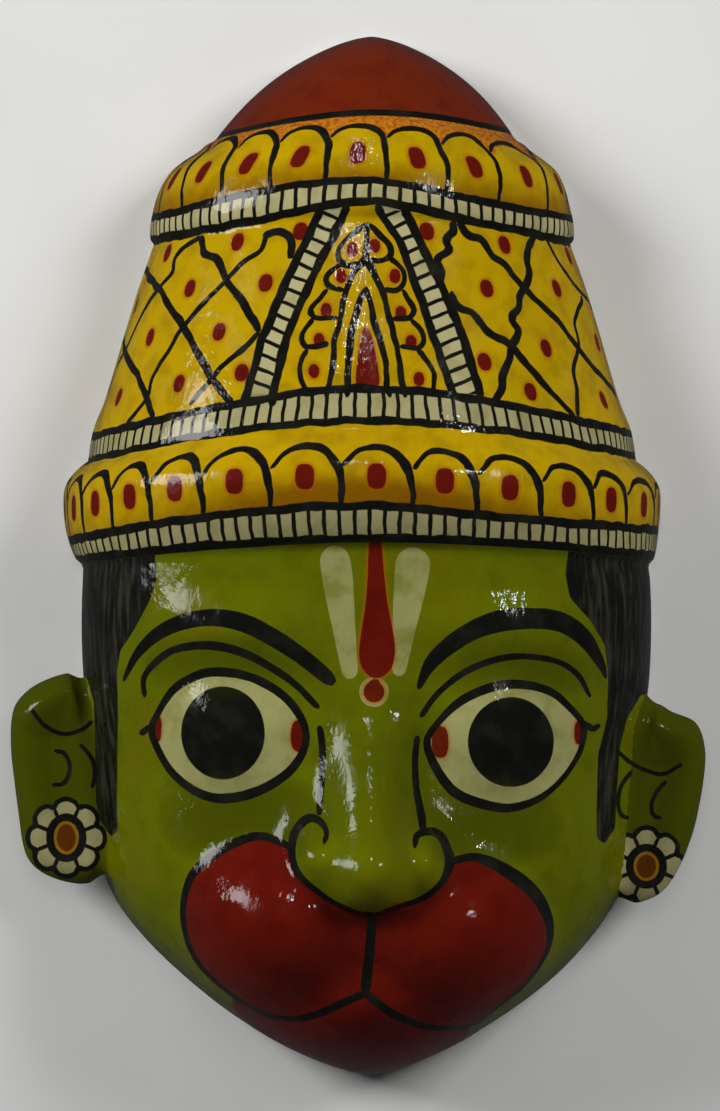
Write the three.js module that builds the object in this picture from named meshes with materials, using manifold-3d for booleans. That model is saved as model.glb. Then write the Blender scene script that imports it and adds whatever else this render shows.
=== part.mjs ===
// A monkey-faced festival mask of moulded sawdust paste, lying face up on the flat rim of its open back.
// Millimetres: +Z points out of the face, +Y to the top of the crown, +X to the viewer's right.
// The origin is the centre of the underside. Face, crown and ears are one moulded shell.
import * as THREE from "three";
import { mergeVertices } from "three/addons/utils/BufferGeometryUtils.js";
import Module from "manifold-3d";

const wasm = await Module();
wasm.setup();

// Driving dimensions
const HALF_LENGTH = 190; // chin to crown tip is twice this
const EAR_REACH = 127; // midline to the outer edge of either ear
const WALL = 6; // nominal thickness of the shell
// Behind the nose and muzzle the inside is one broad pocket
const POCKET = { x: 4, y: -128, halfX: 62, halfY: 54, rise: 9, power: 1.3 };
const HOLLOW_DEPTH_BELOW = 4; // how far the hollow's cutter runs out past the rim

// The head in plan: a rounded jaw, nearly straight sides and a domed cap
const JAW_Y = -115;
const JAW_HALF = 96;
const JAW_POWER = 1.44;
const CAP_Y = 148;
const CAP_HALF = 54.5;
const CAP_POWER = 1.5;
const SIDE_HALF = [
  [JAW_Y, JAW_HALF],
  [-78, 98.5],
  [-45, 103.5],
  [-8, 103.7],
  [14, 100],
  [30, 98.6],
  [45, 96.6],
  [57, 92],
  [94, 81],
  [110, 75.5],
  [125, 70],
  [140, 63],
  [CAP_Y, CAP_HALF],
];

// The head in profile: height of the plain form over the rim, along the midline
const CHIN_DEPTH_POWER = 2.3;
const CAP_DEPTH_POWER = 2;
const MIDLINE_HEIGHT = [
  [JAW_Y, 80],
  [-60, 84],
  [-10, 88],
  [15, 90],
  [57, 84],
  [94, 74],
  [125, 65],
  [CAP_Y, 58],
];
// How boxy each cross-section is: 2 is an ellipse
const SECTION_POWER = [
  [-HALF_LENGTH, 2.4],
  [-20, 2.4],
  [20, 2.1],
  [HALF_LENGTH, 2],
];
// The head sits a little right of the middle and leans further right at both ends
const HEAD_X = 1.3;
const CAP_LEAN = 3.5;
const CHIN_LEAN = 3;
const LEAN_STARTS = 130;
const RELIEF_FADES_BELOW = 20; // half-width at which the relief starts to fade towards either tip
const UPWARD_FADES_BELOW = 0.45; // share of the height at which it starts to fade towards the rim

// The crown's bands rise in an arch over the brow: how far each drops from the midline to the sides
const BAND_ARCH = [
  [-20, 6.5],
  [5, 6.6],
  [17, 8],
  [40, 10.3],
  [57, 12],
  [125, 7],
  [157, 5.5],
  [170, 0.5],
];
const CROWN_EDGE = 4.8;
const CROWN_STEP = 2;
const CROWN_STEP_RUN = 2.5;
const LOWER_ROLL = { at: 31, above: 13, below: 27, rise: 8, power: 0.8 };
const UPPER_ROLL = { at: 146, above: 12, below: 24, rise: 6, power: 0.5 };

// Face forms: centre, half-sizes and rise over the plain form
const EYES = [
  { x: -45.8, y: -62.5, halfX: 29, halfY: 24, rise: 7.5, power: 1.2 },
  { x: 51, y: -63.5, halfX: 29, halfY: 24, rise: 7.5, power: 1.2 },
];
const EYE_SOCKET = { spread: 1.55, sink: 2.5 };
const MUZZLE = { x: 4, y: -128, halfX: 64, halfY: 58, rise: 11, power: 1.2 };
const MUZZLE_LOBES = [
  { x: -30, y: -136, halfX: 34.5, halfY: 34.5, rise: 22, power: 0.65 },
  { x: 37.5, y: -141, halfX: 34.5, halfY: 34.5, rise: 22, power: 0.65 },
];
const LOWER_LIP = { x: 5, y: -166, halfX: 46, halfY: 24, rise: 16, power: 0.8 };
const NOSE_X = 4.5;
const NOSE_RISE = [
  [-128, 0],
  [-112, 27],
  [-80, 16],
  [-56, 4],
  [-42, 0],
];
const NOSE_HALF = [
  [-120, 21],
  [-95, 20],
  [-70, 18],
  [-42, 16],
];
const NOSE_TIP = { x: 4.5, y: -113, halfX: 23, halfY: 20, rise: 33, power: 0.65 };
const NOSTRILS = [
  { x: -15, y: -109, halfX: 12.5, halfY: 17, rise: 24, power: 0.7 },
  { x: 24, y: -111, halfX: 12.5, halfY: 17, rise: 24, power: 0.7 },
];
const CHEEKS = [
  { x: -66, y: -104, halfX: 30, halfY: 30, rise: 3, power: 1.6 },
  { x: 70, y: -106, halfX: 30, halfY: 30, rise: 3, power: 1.6 },
];
const BROWS = [
  { x: -46, y: -27, halfX: 42, halfY: 17, rise: 3, power: 1.6 },
  { x: 54, y: -27, halfX: 42, halfY: 17, rise: 3, power: 1.6 },
];
const FACE_BLEND = 4; // radius of the fillet where two forms of the face meet

// Ears: outlines seen from the front, from the root's top round to its foot
const LEFT_EAR = [
  [-88, -52],
  [-103, -43],
  [-117, -47],
  [-EAR_REACH + 1.6, -55],
  [-EAR_REACH, -68],
  [-124.5, -92],
  [-121, -110],
  [-113, -117],
  [-99, -120],
  [-86, -112],
];
const RIGHT_EAR = [
  [88, -62],
  [104, -51],
  [114, -57],
  [123.5, -61.5],
  [EAR_REACH, -73],
  [124, -93],
  [118.5, -111],
  [110, -123.5],
  [97, -127],
  [86, -118],
];
const EAR_MIDDLE_Z = 25;
const EAR_SWEEP = -0.16; // the ears lean back by this much of each millimetre outwards
const EAR_HALF_THICKNESS = 5;
const EAR_EDGE_RADIUS = 6;
const EAR_ROLL = { inset: 5, reach: 6, rise: 3 };
const EAR_DISH = 2;

// Facets
const ROWS = 84;
const COLUMNS = 45;
const HOLLOW_ROWS = 26;
const HOLLOW_COLUMNS = 18;
const END_CLOSENESS = { reach: 25, extra: 3 };
const FACE_CLOSENESS = { at: -122, reach: 52, extra: 1.8 };
const COLUMN_CLOSENESS = { reach: 0.6, extra: 1.5 };
const SPREAD_STEPS = 2000;
const EAR_RINGS = 5;
const EAR_SPOKES = 26;

const GREEN = 0x5d6600;

/** A smooth curve through [at, value] points, level past both ends. */
function curveThrough(points) {
  const last = points.length - 1;
  const slopes = points.map((_, i) => {
    const before = points[Math.max(i - 1, 0)];
    const after = points[Math.min(i + 1, last)];
    return (after[1] - before[1]) / (after[0] - before[0]);
  });
  return (at) => {
    if (at <= points[0][0]) return points[0][1];
    if (at >= points[last][0]) return points[last][1];
    const i = points.findIndex((p) => p[0] > at) - 1;
    const [start, from] = points[i];
    const [end, to] = points[i + 1];
    const run = end - start;
    const t = (at - start) / run;
    const s = t * t * (3 - 2 * t);
    const bendIn = t * (1 - t) * (1 - t) * run * slopes[i];
    const bendOut = t * t * (t - 1) * run * slopes[i + 1];
    return from + (to - from) * s + bendIn + bendOut;
  };
}

const sideHalf = curveThrough(SIDE_HALF);
const midlineHeight = curveThrough(MIDLINE_HEIGHT);
const sectionPower = curveThrough(SECTION_POWER);
const bandArch = curveThrough(BAND_ARCH);
const noseRise = curveThrough(NOSE_RISE);
const noseHalf = curveThrough(NOSE_HALF);

/** How far a rounded end has closed in, from 1 at its start to 0 at its tip. */
const closing = (t, power) => (1 - Math.min(t, 1) ** power) ** (1 / power);
const jawShare = (y) => (JAW_Y - y) / (JAW_Y + HALF_LENGTH);
const capShare = (y) => (y - CAP_Y) / (HALF_LENGTH - CAP_Y);

function halfWidth(y) {
  if (y < JAW_Y) return JAW_HALF * closing(jawShare(y), JAW_POWER);
  if (y > CAP_Y) return CAP_HALF * closing(capShare(y), CAP_POWER);
  return sideHalf(y);
}

function height(y) {
  if (y < JAW_Y) return midlineHeight(y) * closing(jawShare(y), CHIN_DEPTH_POWER);
  if (y > CAP_Y) return midlineHeight(y) * closing(capShare(y), CAP_DEPTH_POWER);
  return midlineHeight(y);
}

function midlineX(y) {
  const past = Math.max(Math.abs(y) - LEAN_STARTS, 0) / (HALF_LENGTH - LEAN_STARTS);
  return HEAD_X + (y > 0 ? CAP_LEAN : CHIN_LEAN) * past;
}

/** A rounded swelling: 1 at its middle, 0 at its edge. */
const swelling = (distance, power) =>
  distance < 1 ? Math.cos((distance * Math.PI) / 2) ** power : 0;

const dome = (form, x, y) =>
  form.rise * swelling(Math.hypot((x - form.x) / form.halfX, (y - form.y) / form.halfY), form.power);

/** The higher of two forms, with a fillet between them where both are proud. */
function blend(a, b) {
  const near = Math.max(FACE_BLEND - Math.abs(a - b), 0) / FACE_BLEND;
  const proud = Math.min(Math.min(a, b) / FACE_BLEND, 1);
  return Math.max(a, b) + (near * near * proud * FACE_BLEND) / 4;
}

function nose(x, y) {
  return noseRise(y) * swelling(Math.abs(x - NOSE_X) / noseHalf(y), 0.9);
}

function eyeRelief(x, y) {
  return EYES.reduce((sum, eye) => {
    const away = Math.hypot((x - eye.x) / eye.halfX, (y - eye.y) / eye.halfY);
    const socket = EYE_SOCKET.sink * swelling(away / EYE_SOCKET.spread, 2);
    return sum + eye.rise * swelling(away, eye.power) - socket;
  }, 0);
}

function faceRelief(x, y) {
  const forms = [MUZZLE, ...MUZZLE_LOBES, LOWER_LIP, ...NOSTRILS, NOSE_TIP];
  const proud = forms.map((form) => dome(form, x, y));
  const gentle = [...CHEEKS, ...BROWS].reduce((sum, form) => sum + dome(form, x, y), 0);
  return gentle + eyeRelief(x, y) + proud.reduce(blend, nose(x, y));
}

/** A roll round the crown, usually steeper on its upper side. */
function roll(form, along) {
  const past = along - form.at;
  return form.rise * swelling(past > 0 ? past / form.above : -past / form.below, form.power);
}

/** Relief of the crown, at a height along it measured on the midline. */
function crownRelief(along) {
  const step = THREE.MathUtils.smoothstep(along, CROWN_EDGE - CROWN_STEP_RUN, CROWN_EDGE);
  return CROWN_STEP * step + roll(LOWER_ROLL, along) + roll(UPPER_ROLL, along);
}

/** Relief of the outside over the plain form: the crown's stands off it, the face's is straight up. */
function outerRelief(x, y, along) {
  return { outward: crownRelief(along), upward: faceRelief(x, y) };
}

/** The point of a form at height y, a share of the way from its left rim (-1) to its right one (1). */
function skinPoint(y, across, relief) {
  const half = halfWidth(y);
  const high = height(y);
  if (half * high === 0) return new THREE.Vector3(midlineX(y), y, 0);
  const power = sectionPower(y);
  const turn = (across * Math.PI) / 2;
  const level = Math.max(Math.cos(turn), 0);
  const reach = (Math.abs(Math.sin(turn)) ** power + level ** power) ** (-1 / power);
  const side = Math.sin(turn) * reach;
  const up = Math.abs(across) === 1 ? 0 : level * reach;
  const x = midlineX(y) + side * half;
  const z = up * high;
  const along = y + bandArch(y) * side * side;
  const endFade = Math.min(1, half / RELIEF_FADES_BELOW);
  const { outward, upward } = relief(x, y, along);
  const outX = (Math.abs(side) ** (power - 1) * Math.sign(side)) / half;
  const outZ = up ** (power - 1) / high;
  const rise = (outward * endFade) / Math.hypot(outX, outZ);
  return new THREE.Vector3(x + rise * outX, y, z + rise * outZ + upward * Math.min(up / UPWARD_FADES_BELOW, 1));
}

/** Places from one end to another, spaced closer where the closeness is greater. */
function spread(from, to, count, closeness) {
  const step = (to - from) / SPREAD_STEPS;
  const totals = [0];
  for (let i = 0; i < SPREAD_STEPS; i++) totals.push(totals[i] + closeness(from + (i + 0.5) * step));
  return Array.from({ length: count + 1 }, (_, i) => {
    if (i === 0) return from;
    if (i === count) return to;
    const share = (totals[SPREAD_STEPS] * i) / count;
    const k = totals.findIndex((total) => total > share) - 1;
    return from + step * (k + (share - totals[k]) / (totals[k + 1] - totals[k]));
  });
}

/** Rows lie closest at the chin, the crown tip, and across the nose and muzzle. */
function rowCloseness(y) {
  const toEnd = HALF_LENGTH - Math.abs(y);
  const atEnd = END_CLOSENESS.extra * swelling(toEnd / END_CLOSENESS.reach, 2);
  const atFace = FACE_CLOSENESS.extra * swelling(Math.abs(y - FACE_CLOSENESS.at) / FACE_CLOSENESS.reach, 1);
  return 1 + atEnd + atFace;
}

const columnCloseness = (across) =>
  1 + COLUMN_CLOSENESS.extra * swelling(Math.abs(across) / COLUMN_CLOSENESS.reach, 1);

/** A solid from a grid of points whose rows each run round the solid's girth. */
function solidFromRows(rows) {
  const positions = rows.flat().flatMap((p) => [p.x, p.y, p.z]);
  const girth = rows[0].length;
  const index = [];
  for (let i = 0; i < rows.length - 1; i++) {
    for (let j = 0; j < girth; j++) {
      const a = i * girth + j;
      const b = i * girth + ((j + 1) % girth);
      index.push(a, b, a + girth, b, b + girth, a + girth);
    }
  }
  const geometry = new THREE.BufferGeometry();
  geometry.setAttribute("position", new THREE.Float32BufferAttribute(positions, 3));
  geometry.setIndex(index);
  return solidFromGeometry(geometry);
}

/** A manifold solid from a closed three.js geometry; facets that close up to a line are left out. */
function solidFromGeometry(geometry) {
  const merged = mergeVertices(geometry, 1e-3);
  const corners = Array.from(merged.index.array);
  const facets = [];
  for (let i = 0; i < corners.length; i += 3) {
    const [a, b, c] = corners.slice(i, i + 3);
    if (a !== b && b !== c && c !== a) facets.push(a, b, c);
  }
  return new wasm.Manifold(
    new wasm.Mesh({
      numProp: 3,
      vertProperties: merged.attributes.position.array,
      triVerts: new Uint32Array(facets),
    }),
  );
}

/** The head as a solid with a flat back at z = base. */
function headSolid(rowCount, columnCount, relief, base) {
  const acrosses = spread(-1, 1, columnCount, columnCloseness);
  const rows = spread(-HALF_LENGTH, HALF_LENGTH, rowCount, rowCloseness).map((y) => {
    const section = acrosses.map((across) => skinPoint(y, across, relief));
    if (base === 0) return section;
    const left = section[0].clone().setZ(base);
    const right = section[columnCount].clone().setZ(base);
    return [left, ...section, right];
  });
  return solidFromRows(rows);
}

/** How far inside an outline a point lies. */
function insetFrom(outline, x, y) {
  const point = new THREE.Vector3(x, y, 0);
  const nearest = new THREE.Vector3();
  return outline.reduce((least, start, i) => {
    const edge = new THREE.Line3(start, outline[(i + 1) % outline.length]);
    edge.closestPointToPoint(point, true, nearest);
    return Math.min(least, nearest.distanceTo(point));
  }, Infinity);
}

/** An ear: a plate with a rounded edge, a rolled rim and a dished middle. */
function earSolid(points) {
  const curve = new THREE.CatmullRomCurve3(
    points.map(([x, y]) => new THREE.Vector3(x, y, 0)),
    true,
    "centripetal",
  );
  const outline = curve.getSpacedPoints(EAR_SPOKES).slice(0, EAR_SPOKES);
  const middle = outline
    .reduce((sum, p) => sum.add(p), new THREE.Vector3())
    .divideScalar(EAR_SPOKES);
  const rootX = Math.min(...outline.map((p) => Math.abs(p.x)));

  const ring = (share, face) =>
    outline.map((edge) => {
      const p = middle.clone().lerp(edge, share);
      const inset = insetFrom(outline, p.x, p.y);
      const rounding = Math.min(inset / EAR_EDGE_RADIUS, 1);
      const thickness = EAR_HALF_THICKNESS * Math.sqrt(1 - (1 - rounding) ** 2);
      const rolled = swelling(Math.abs(inset - EAR_ROLL.inset) / EAR_ROLL.reach, 1.5);
      const dished = EAR_DISH * THREE.MathUtils.smoothstep(inset, EAR_ROLL.inset, 3 * EAR_ROLL.inset);
      const carving = face > 0 ? EAR_ROLL.rise * rolled - dished : 0;
      const sweep = EAR_SWEEP * (Math.abs(p.x) - rootX);
      return p.setZ(EAR_MIDDLE_Z + sweep + face * thickness + carving * rounding);
    });

  const shares = Array.from({ length: EAR_RINGS + 1 }, (_, i) => Math.sin((i / EAR_RINGS) * (Math.PI / 2)));
  const front = shares.map((share) => ring(share, 1));
  const back = shares.slice(0, -1).map((share) => ring(share, -1));
  const solid = solidFromRows([...back, ...front.reverse()]);
  return solid.volume() < 0 ? solidFromRows([...front.reverse(), ...back.reverse()]) : solid;
}

/** The moulded shell: head and ears in one, hollowed from behind. */
function maskSolid() {
  const pocket = (x, y) => ({ outward: 0, upward: dome(POCKET, x, y) });
  const hollow = headSolid(HOLLOW_ROWS, HOLLOW_COLUMNS, pocket, -HOLLOW_DEPTH_BELOW).scale([
    1 - WALL / JAW_HALF,
    1 - WALL / HALF_LENGTH,
    1 - WALL / midlineHeight(0),
  ]);
  return headSolid(ROWS, COLUMNS, outerRelief, 0)
    .add(earSolid(LEFT_EAR))
    .add(earSolid(RIGHT_EAR))
    .subtract(hollow);
}

function geometryOf(solid) {
  const { vertProperties, triVerts } = solid.getMesh();
  const geometry = new THREE.BufferGeometry();
  geometry.setAttribute("position", new THREE.BufferAttribute(vertProperties, 3));
  geometry.setIndex(new THREE.BufferAttribute(triVerts, 1));
  geometry.computeVertexNormals();
  return geometry;
}

const paint = new THREE.MeshStandardMaterial({ color: GREEN, roughness: 0.25, metalness: 0 });
const mask = new THREE.Mesh(geometryOf(maskSolid()), paint);
mask.name = "mask";

const model = new THREE.Group();
model.add(mask);

export default model;
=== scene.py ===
"""Looks of a monkey-faced festival mask: moulded paste, painted in bright colours and varnished.

Lengths are in millimetres in the mask's own frame, and become metres where meshes are made. +Y is the
top of the crown, +X the viewer's right and +Z points out of the face.
"""

from __future__ import annotations

import logging
import math
from collections.abc import Callable, Iterable, Sequence
from dataclasses import dataclass, field, replace
from enum import Enum
from functools import reduce
from itertools import product

import bpy
import numpy as np
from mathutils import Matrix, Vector, noise

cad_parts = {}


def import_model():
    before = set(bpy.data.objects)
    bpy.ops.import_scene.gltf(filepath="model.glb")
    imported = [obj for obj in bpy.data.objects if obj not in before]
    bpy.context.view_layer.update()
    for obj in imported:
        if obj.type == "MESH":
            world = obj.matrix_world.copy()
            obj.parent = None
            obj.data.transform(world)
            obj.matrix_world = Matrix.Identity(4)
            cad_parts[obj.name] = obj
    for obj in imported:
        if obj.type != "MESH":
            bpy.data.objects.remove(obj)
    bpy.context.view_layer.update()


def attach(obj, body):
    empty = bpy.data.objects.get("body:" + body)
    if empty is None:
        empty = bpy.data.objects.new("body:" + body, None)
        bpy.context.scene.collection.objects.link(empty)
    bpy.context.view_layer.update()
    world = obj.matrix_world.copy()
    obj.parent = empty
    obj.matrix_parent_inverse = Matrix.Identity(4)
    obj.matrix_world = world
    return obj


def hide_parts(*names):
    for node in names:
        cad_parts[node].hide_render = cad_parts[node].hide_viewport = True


LOG = logging.getLogger("mask")
MM = 0.001

SEED = 11

# The picture on the front was measured as it looks from this far above the rim
VIEW_DISTANCE = 3200.0
AIM_X, AIM_Y = 0.55, -0.18

# What a point of the mesh is given where nothing is painted, and where a line has no ends
FAR_OUTSIDE = -4.0
FAR_FROM_ENDS = 99.0
NO_LINE = (9.0, 0.0, FAR_OUTSIDE)

# How many degrees to each side of its middle the crown's front gets painted shade
FRONT_TURN = 26.0

# How finely points are told apart, where rows close up and between meshes
WELDS_PER_MM = 1000
KEYS_PER_MM = 20

# How many places a profile is measured at
FINE_STEPS = 40001
COARSE_STEPS = 4001

# Keeps a division from being by nothing
TINY = 1e-9

Array = np.ndarray
Curve = Callable[[Array], Array]
Pair = tuple[float, float]
Triple = tuple[float, float, float]

# A path has only places; a line has the brush's width at each of them too
Path = tuple[Pair, ...]
Line = tuple[Triple, ...]


def curve_through(points: Sequence[Pair]) -> Curve:
    """A smooth curve through points, level past both ends.

    Args:
        points: (at, value) pairs in rising order of at.

    Returns:
        A function from places to values.
    """
    at, value = np.array(points, dtype=float).T
    slope = np.empty_like(at)
    slope[1:-1] = (value[2:] - value[:-2]) / (at[2:] - at[:-2])
    slope[0] = (value[1] - value[0]) / (at[1] - at[0])
    slope[-1] = (value[-1] - value[-2]) / (at[-1] - at[-2])

    def curve(place: Array) -> Array:
        """The curve's value at each place.

        Args:
            place: The places.

        Returns:
            A value for each.
        """
        place = np.clip(place, at[0], at[-1])
        i = np.clip(np.searchsorted(at, place, side="right") - 1, 0, len(at) - 2)
        run = at[i + 1] - at[i]
        t = (place - at[i]) / run
        ease = t * t * (3 - 2 * t)
        bend_in = t * (1 - t) ** 2 * run * slope[i]
        bend_out = t * t * (t - 1) * run * slope[i + 1]
        return value[i] + (value[i + 1] - value[i]) * ease + bend_in + bend_out

    return curve


def smoothstep(low: float, high: float, value: Array) -> Array:
    """0 below low, 1 above high, and a smooth rise between."""
    t = np.clip((value - low) / (high - low), 0, 1)
    return t * t * (3 - 2 * t)


def swelling(distance: Array, power: float) -> Array:
    """A rounded swelling: 1 at its middle, 0 at its edge."""
    return np.cos(np.clip(distance, 0, 1) * math.pi / 2).clip(0) ** power


def closing(share: Array, power: float) -> Array:
    """How far a rounded end has closed in, from 1 at its start to 0 at its tip."""
    return (1 - np.clip(share, 0, 1) ** power) ** (1 / power)


def crown_front(turn: Array) -> Array:
    """How near places are to the crown's front: 1 at its middle, dying out on its flanks."""
    return np.exp(-((turn / FRONT_TURN) ** 2))


def places_of(line: Line) -> Path:
    """The places of a line's points, without its widths."""
    return tuple((across, y) for across, y, _ in line)


@dataclass(frozen=True)
class Form:
    """A rounded form that stands proud of the plain head."""

    x: float
    y: float
    half_x: float
    half_y: float
    rise: float
    power: float

    def away(self, x: Array, y: Array) -> Array:
        """How far points lie from the form's middle, 1 being its edge."""
        return np.hypot((x - self.x) / self.half_x, (y - self.y) / self.half_y)

    def rise_at(self, x: Array, y: Array) -> Array:
        """How far the form stands proud at each point."""
        return self.rise * swelling(self.away(x, y), self.power)


@dataclass(frozen=True)
class Roll:
    """A roll round the crown, usually steeper on its upper side."""

    at: float
    above: float
    below: float
    rise: float
    power: float

    def rise_at(self, along: Array) -> Array:
        """How far the roll stands proud, by height along the crown's midline."""
        past = along - self.at
        return self.rise * swelling(np.where(past > 0, past / self.above, -past / self.below), self.power)


@dataclass(frozen=True)
class HeadShape:
    """The head, crown and hollow, with the solid's sizes and curves but for a slight shift of the face."""

    half_length: float = 190
    wall: float = 6
    jaw_y: float = -115
    jaw_half: float = 96
    jaw_power: float = 1.44
    cap_y: float = 148
    cap_power: float = 1.5
    chin_depth_power: float = 2.3
    cap_depth_power: float = 2
    head_x: float = 1.3
    cap_lean: float = 3.5
    chin_lean: float = 3
    lean_starts: float = 130
    face_shift: float = 1.6
    shift_starts: Pair = (-12, 10)
    shift_ends: Pair = (150, 180)
    relief_fades_below: float = 20
    upward_fades_below: float = 0.45
    crown_step: float = 2
    step_rises: Pair = (2.3, 4.8)
    step_fades: Pair = (152, 168)
    brow_height: float = 88
    lower_roll: Roll = Roll(31, 13, 27, 8, 0.8)
    upper_roll: Roll = Roll(146, 12, 24, 6, 0.5)
    eyes: tuple[Form, ...] = (Form(-45.8, -62.5, 29, 24, 7.5, 1.2), Form(51, -63.5, 29, 24, 7.5, 1.2))
    socket_spread: float = 1.55
    socket_sink: float = 2.5
    muzzle: Form = Form(4, -128, 64, 58, 11, 1.2)
    lobes: tuple[Form, ...] = (
        Form(-30, -136, 34.5, 34.5, 22, 0.65),
        Form(37.5, -141, 34.5, 34.5, 22, 0.65),
    )
    lower_lip: Form = Form(5, -166, 46, 24, 16, 0.8)
    nose_x: float = 4.5
    nose_power: float = 0.9
    nose_tip: Form = Form(4.5, -113, 23, 20, 33, 0.65)
    nostrils: tuple[Form, ...] = (Form(-15, -109, 12.5, 17, 24, 0.7), Form(24, -111, 12.5, 17, 24, 0.7))
    cheeks: tuple[Form, ...] = (Form(-66, -104, 30, 30, 3, 1.6), Form(70, -106, 30, 30, 3, 1.6))
    brows: tuple[Form, ...] = (Form(-46, -27, 42, 17, 3, 1.6), Form(54, -27, 42, 17, 3, 1.6))
    face_blend: float = 4
    pocket: Form = Form(4, -128, 62, 54, 9, 1.3)
    sides: Curve = curve_through(
        (
            (-115, 96), (-78, 98.5), (-45, 103.5), (-8, 103.7), (14, 100), (30, 98.6), (45, 96.6), (57, 92),
            (94, 81), (110, 75.5), (125, 70), (140, 63), (148, 54.5),
        )
    )
    midline: Curve = curve_through(
        ((-115, 80), (-60, 84), (-10, 88), (15, 90), (57, 84), (94, 74), (125, 65), (148, 58))
    )
    boxiness: Curve = curve_through(((-190, 2.4), (-20, 2.4), (20, 2.1), (190, 2)))
    band_arch: Curve = curve_through(
        ((-20, 6.5), (5, 6.6), (17, 8), (40, 10.3), (57, 12), (125, 7), (157, 5.5), (170, 0.5))
    )
    nose_rise: Curve = curve_through(((-128, 0), (-112, 27), (-80, 16), (-56, 4), (-42, 0)))
    nose_half: Curve = curve_through(((-120, 21), (-95, 20), (-70, 18), (-42, 16)))

    def closed_in(self, y: Array, chin_power: float, cap_power: float) -> Array:
        """How far the head's ends have closed in, from 1 between them to 0 at chin and top."""
        chin = closing((self.jaw_y - y) / (self.jaw_y + self.half_length), chin_power)
        return chin * closing((y - self.cap_y) / (self.half_length - self.cap_y), cap_power)

    def half_width(self, y: Array) -> Array:
        """Half the plain head's width at each place from chin to crown."""
        return self.sides(y) * self.closed_in(y, self.jaw_power, self.cap_power)

    def height(self, y: Array) -> Array:
        """The plain head's height over the rim, along the midline."""
        return self.midline(y) * self.closed_in(y, self.chin_depth_power, self.cap_depth_power)

    def middle(self, y: Array) -> Array:
        """The midline's x at each height.

        Args:
            y: Places from chin to crown.

        Returns:
            An x for each.
        """
        past = np.maximum(np.abs(y) - self.lean_starts, 0) / (self.half_length - self.lean_starts)
        face = smoothstep(*self.shift_starts, -y) * (1 - smoothstep(*self.shift_ends, -y))
        return self.head_x + np.where(y > 0, self.cap_lean, self.chin_lean) * past + self.face_shift * face

    def crown_relief(self, along: Array) -> Array:
        """Relief of the crown, at a height along it measured on the midline."""
        step = smoothstep(*self.step_rises, along) * (1 - smoothstep(*self.step_fades, along))
        return self.crown_step * step + self.lower_roll.rise_at(along) + self.upper_roll.rise_at(along)

    def blend(self, a: Array, b: Array) -> Array:
        """The higher of two forms, with a fillet between them where both are proud.

        Args:
            a: How far one form stands proud.
            b: How far the other does.

        Returns:
            How far both together do.
        """
        near = np.maximum(self.face_blend - np.abs(a - b), 0) / self.face_blend
        proud = np.minimum(np.minimum(a, b) / self.face_blend, 1)
        return np.maximum(a, b) + near * near * proud * self.face_blend / 4

    def eye_relief(self, x: Array, y: Array) -> Array:
        """The eyeballs, less the shallow sockets round them."""
        sunk = sum(swelling(eye.away(x, y) / self.socket_spread, 2) for eye in self.eyes)
        return sum(eye.rise_at(x, y) for eye in self.eyes) - self.socket_sink * sunk

    def face_relief(self, x: Array, y: Array) -> Array:
        """Relief of the face over the plain head.

        Args:
            x: Places across the mask.
            y: Places from chin to crown.

        Returns:
            A rise for each.
        """
        gentle = sum(form.rise_at(x, y) for form in (*self.cheeks, *self.brows))
        nose = self.nose_rise(y) * swelling(np.abs(x - self.nose_x) / self.nose_half(y), self.nose_power)
        forms = (self.muzzle, *self.lobes, self.lower_lip, *self.nostrils, self.nose_tip)
        proud = reduce(self.blend, (form.rise_at(x, y) for form in forms), nose)
        return gentle + self.eye_relief(x, y) + proud

    def along(self, side: Array, y: Array) -> Array:
        """Height along the crown, measured on the midline: the bands rise in an arch."""
        return y + self.band_arch(y) * side * side

    def section(self, y: Array, across: Array) -> tuple[Array, Array]:
        """The plain section's shape.

        Args:
            y: Heights.
            across: Shares of the way from the left rim (-1) to the right one (1).

        Returns:
            Shares of the half-width and of the height.
        """
        power = self.boxiness(y)
        turn = across * math.pi / 2
        level = np.maximum(np.cos(turn), 0)
        reach = (np.abs(np.sin(turn)) ** power + level**power) ** (-1 / power)
        return np.sin(turn) * reach, np.where(np.abs(across) >= 1, 0, level * reach)

    def raise_skin(self, y: Array, across: Array, outward: Curve, upward: Callable) -> Array:
        """Points of a form with relief over the plain head.

        Args:
            y: Heights, as a column.
            across: Shares of the way from rim to rim, as a row.
            outward: Relief that stands off the surface, by height along the crown.
            upward: Relief straight up, by x and y.

        Returns:
            A grid of points.
        """
        half = np.maximum(self.half_width(y), TINY)
        high = np.maximum(self.height(y), TINY)
        power = self.boxiness(y)
        side, up = self.section(y, across)
        x = self.middle(y) + side * half
        out_x = np.abs(side) ** (power - 1) * np.sign(side) / half
        out_z = up ** (power - 1) / high
        fade = np.minimum(half / self.relief_fades_below, 1)
        rise = outward(self.along(side, y)) * fade / np.hypot(out_x, out_z)
        lift = upward(x, y) * np.minimum(up / self.upward_fades_below, 1)
        rows = y + 0 * across
        return np.stack([x + rise * out_x, rows, up * high + rise * out_z + lift], axis=-1)

    def outside(self, y: Array, across: Array) -> Array:
        """A grid of points on the outside."""
        return self.raise_skin(y, across, self.crown_relief, self.face_relief)

    def inside(self, y: Array, across: Array) -> Array:
        """A grid of points on the hollow, at heights given for the outside."""
        whole = np.array([self.jaw_half, self.half_length, self.brow_height])
        return self.raise_skin(y, across, np.zeros_like, self.pocket.rise_at) * (1 - self.wall / whole)


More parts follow.
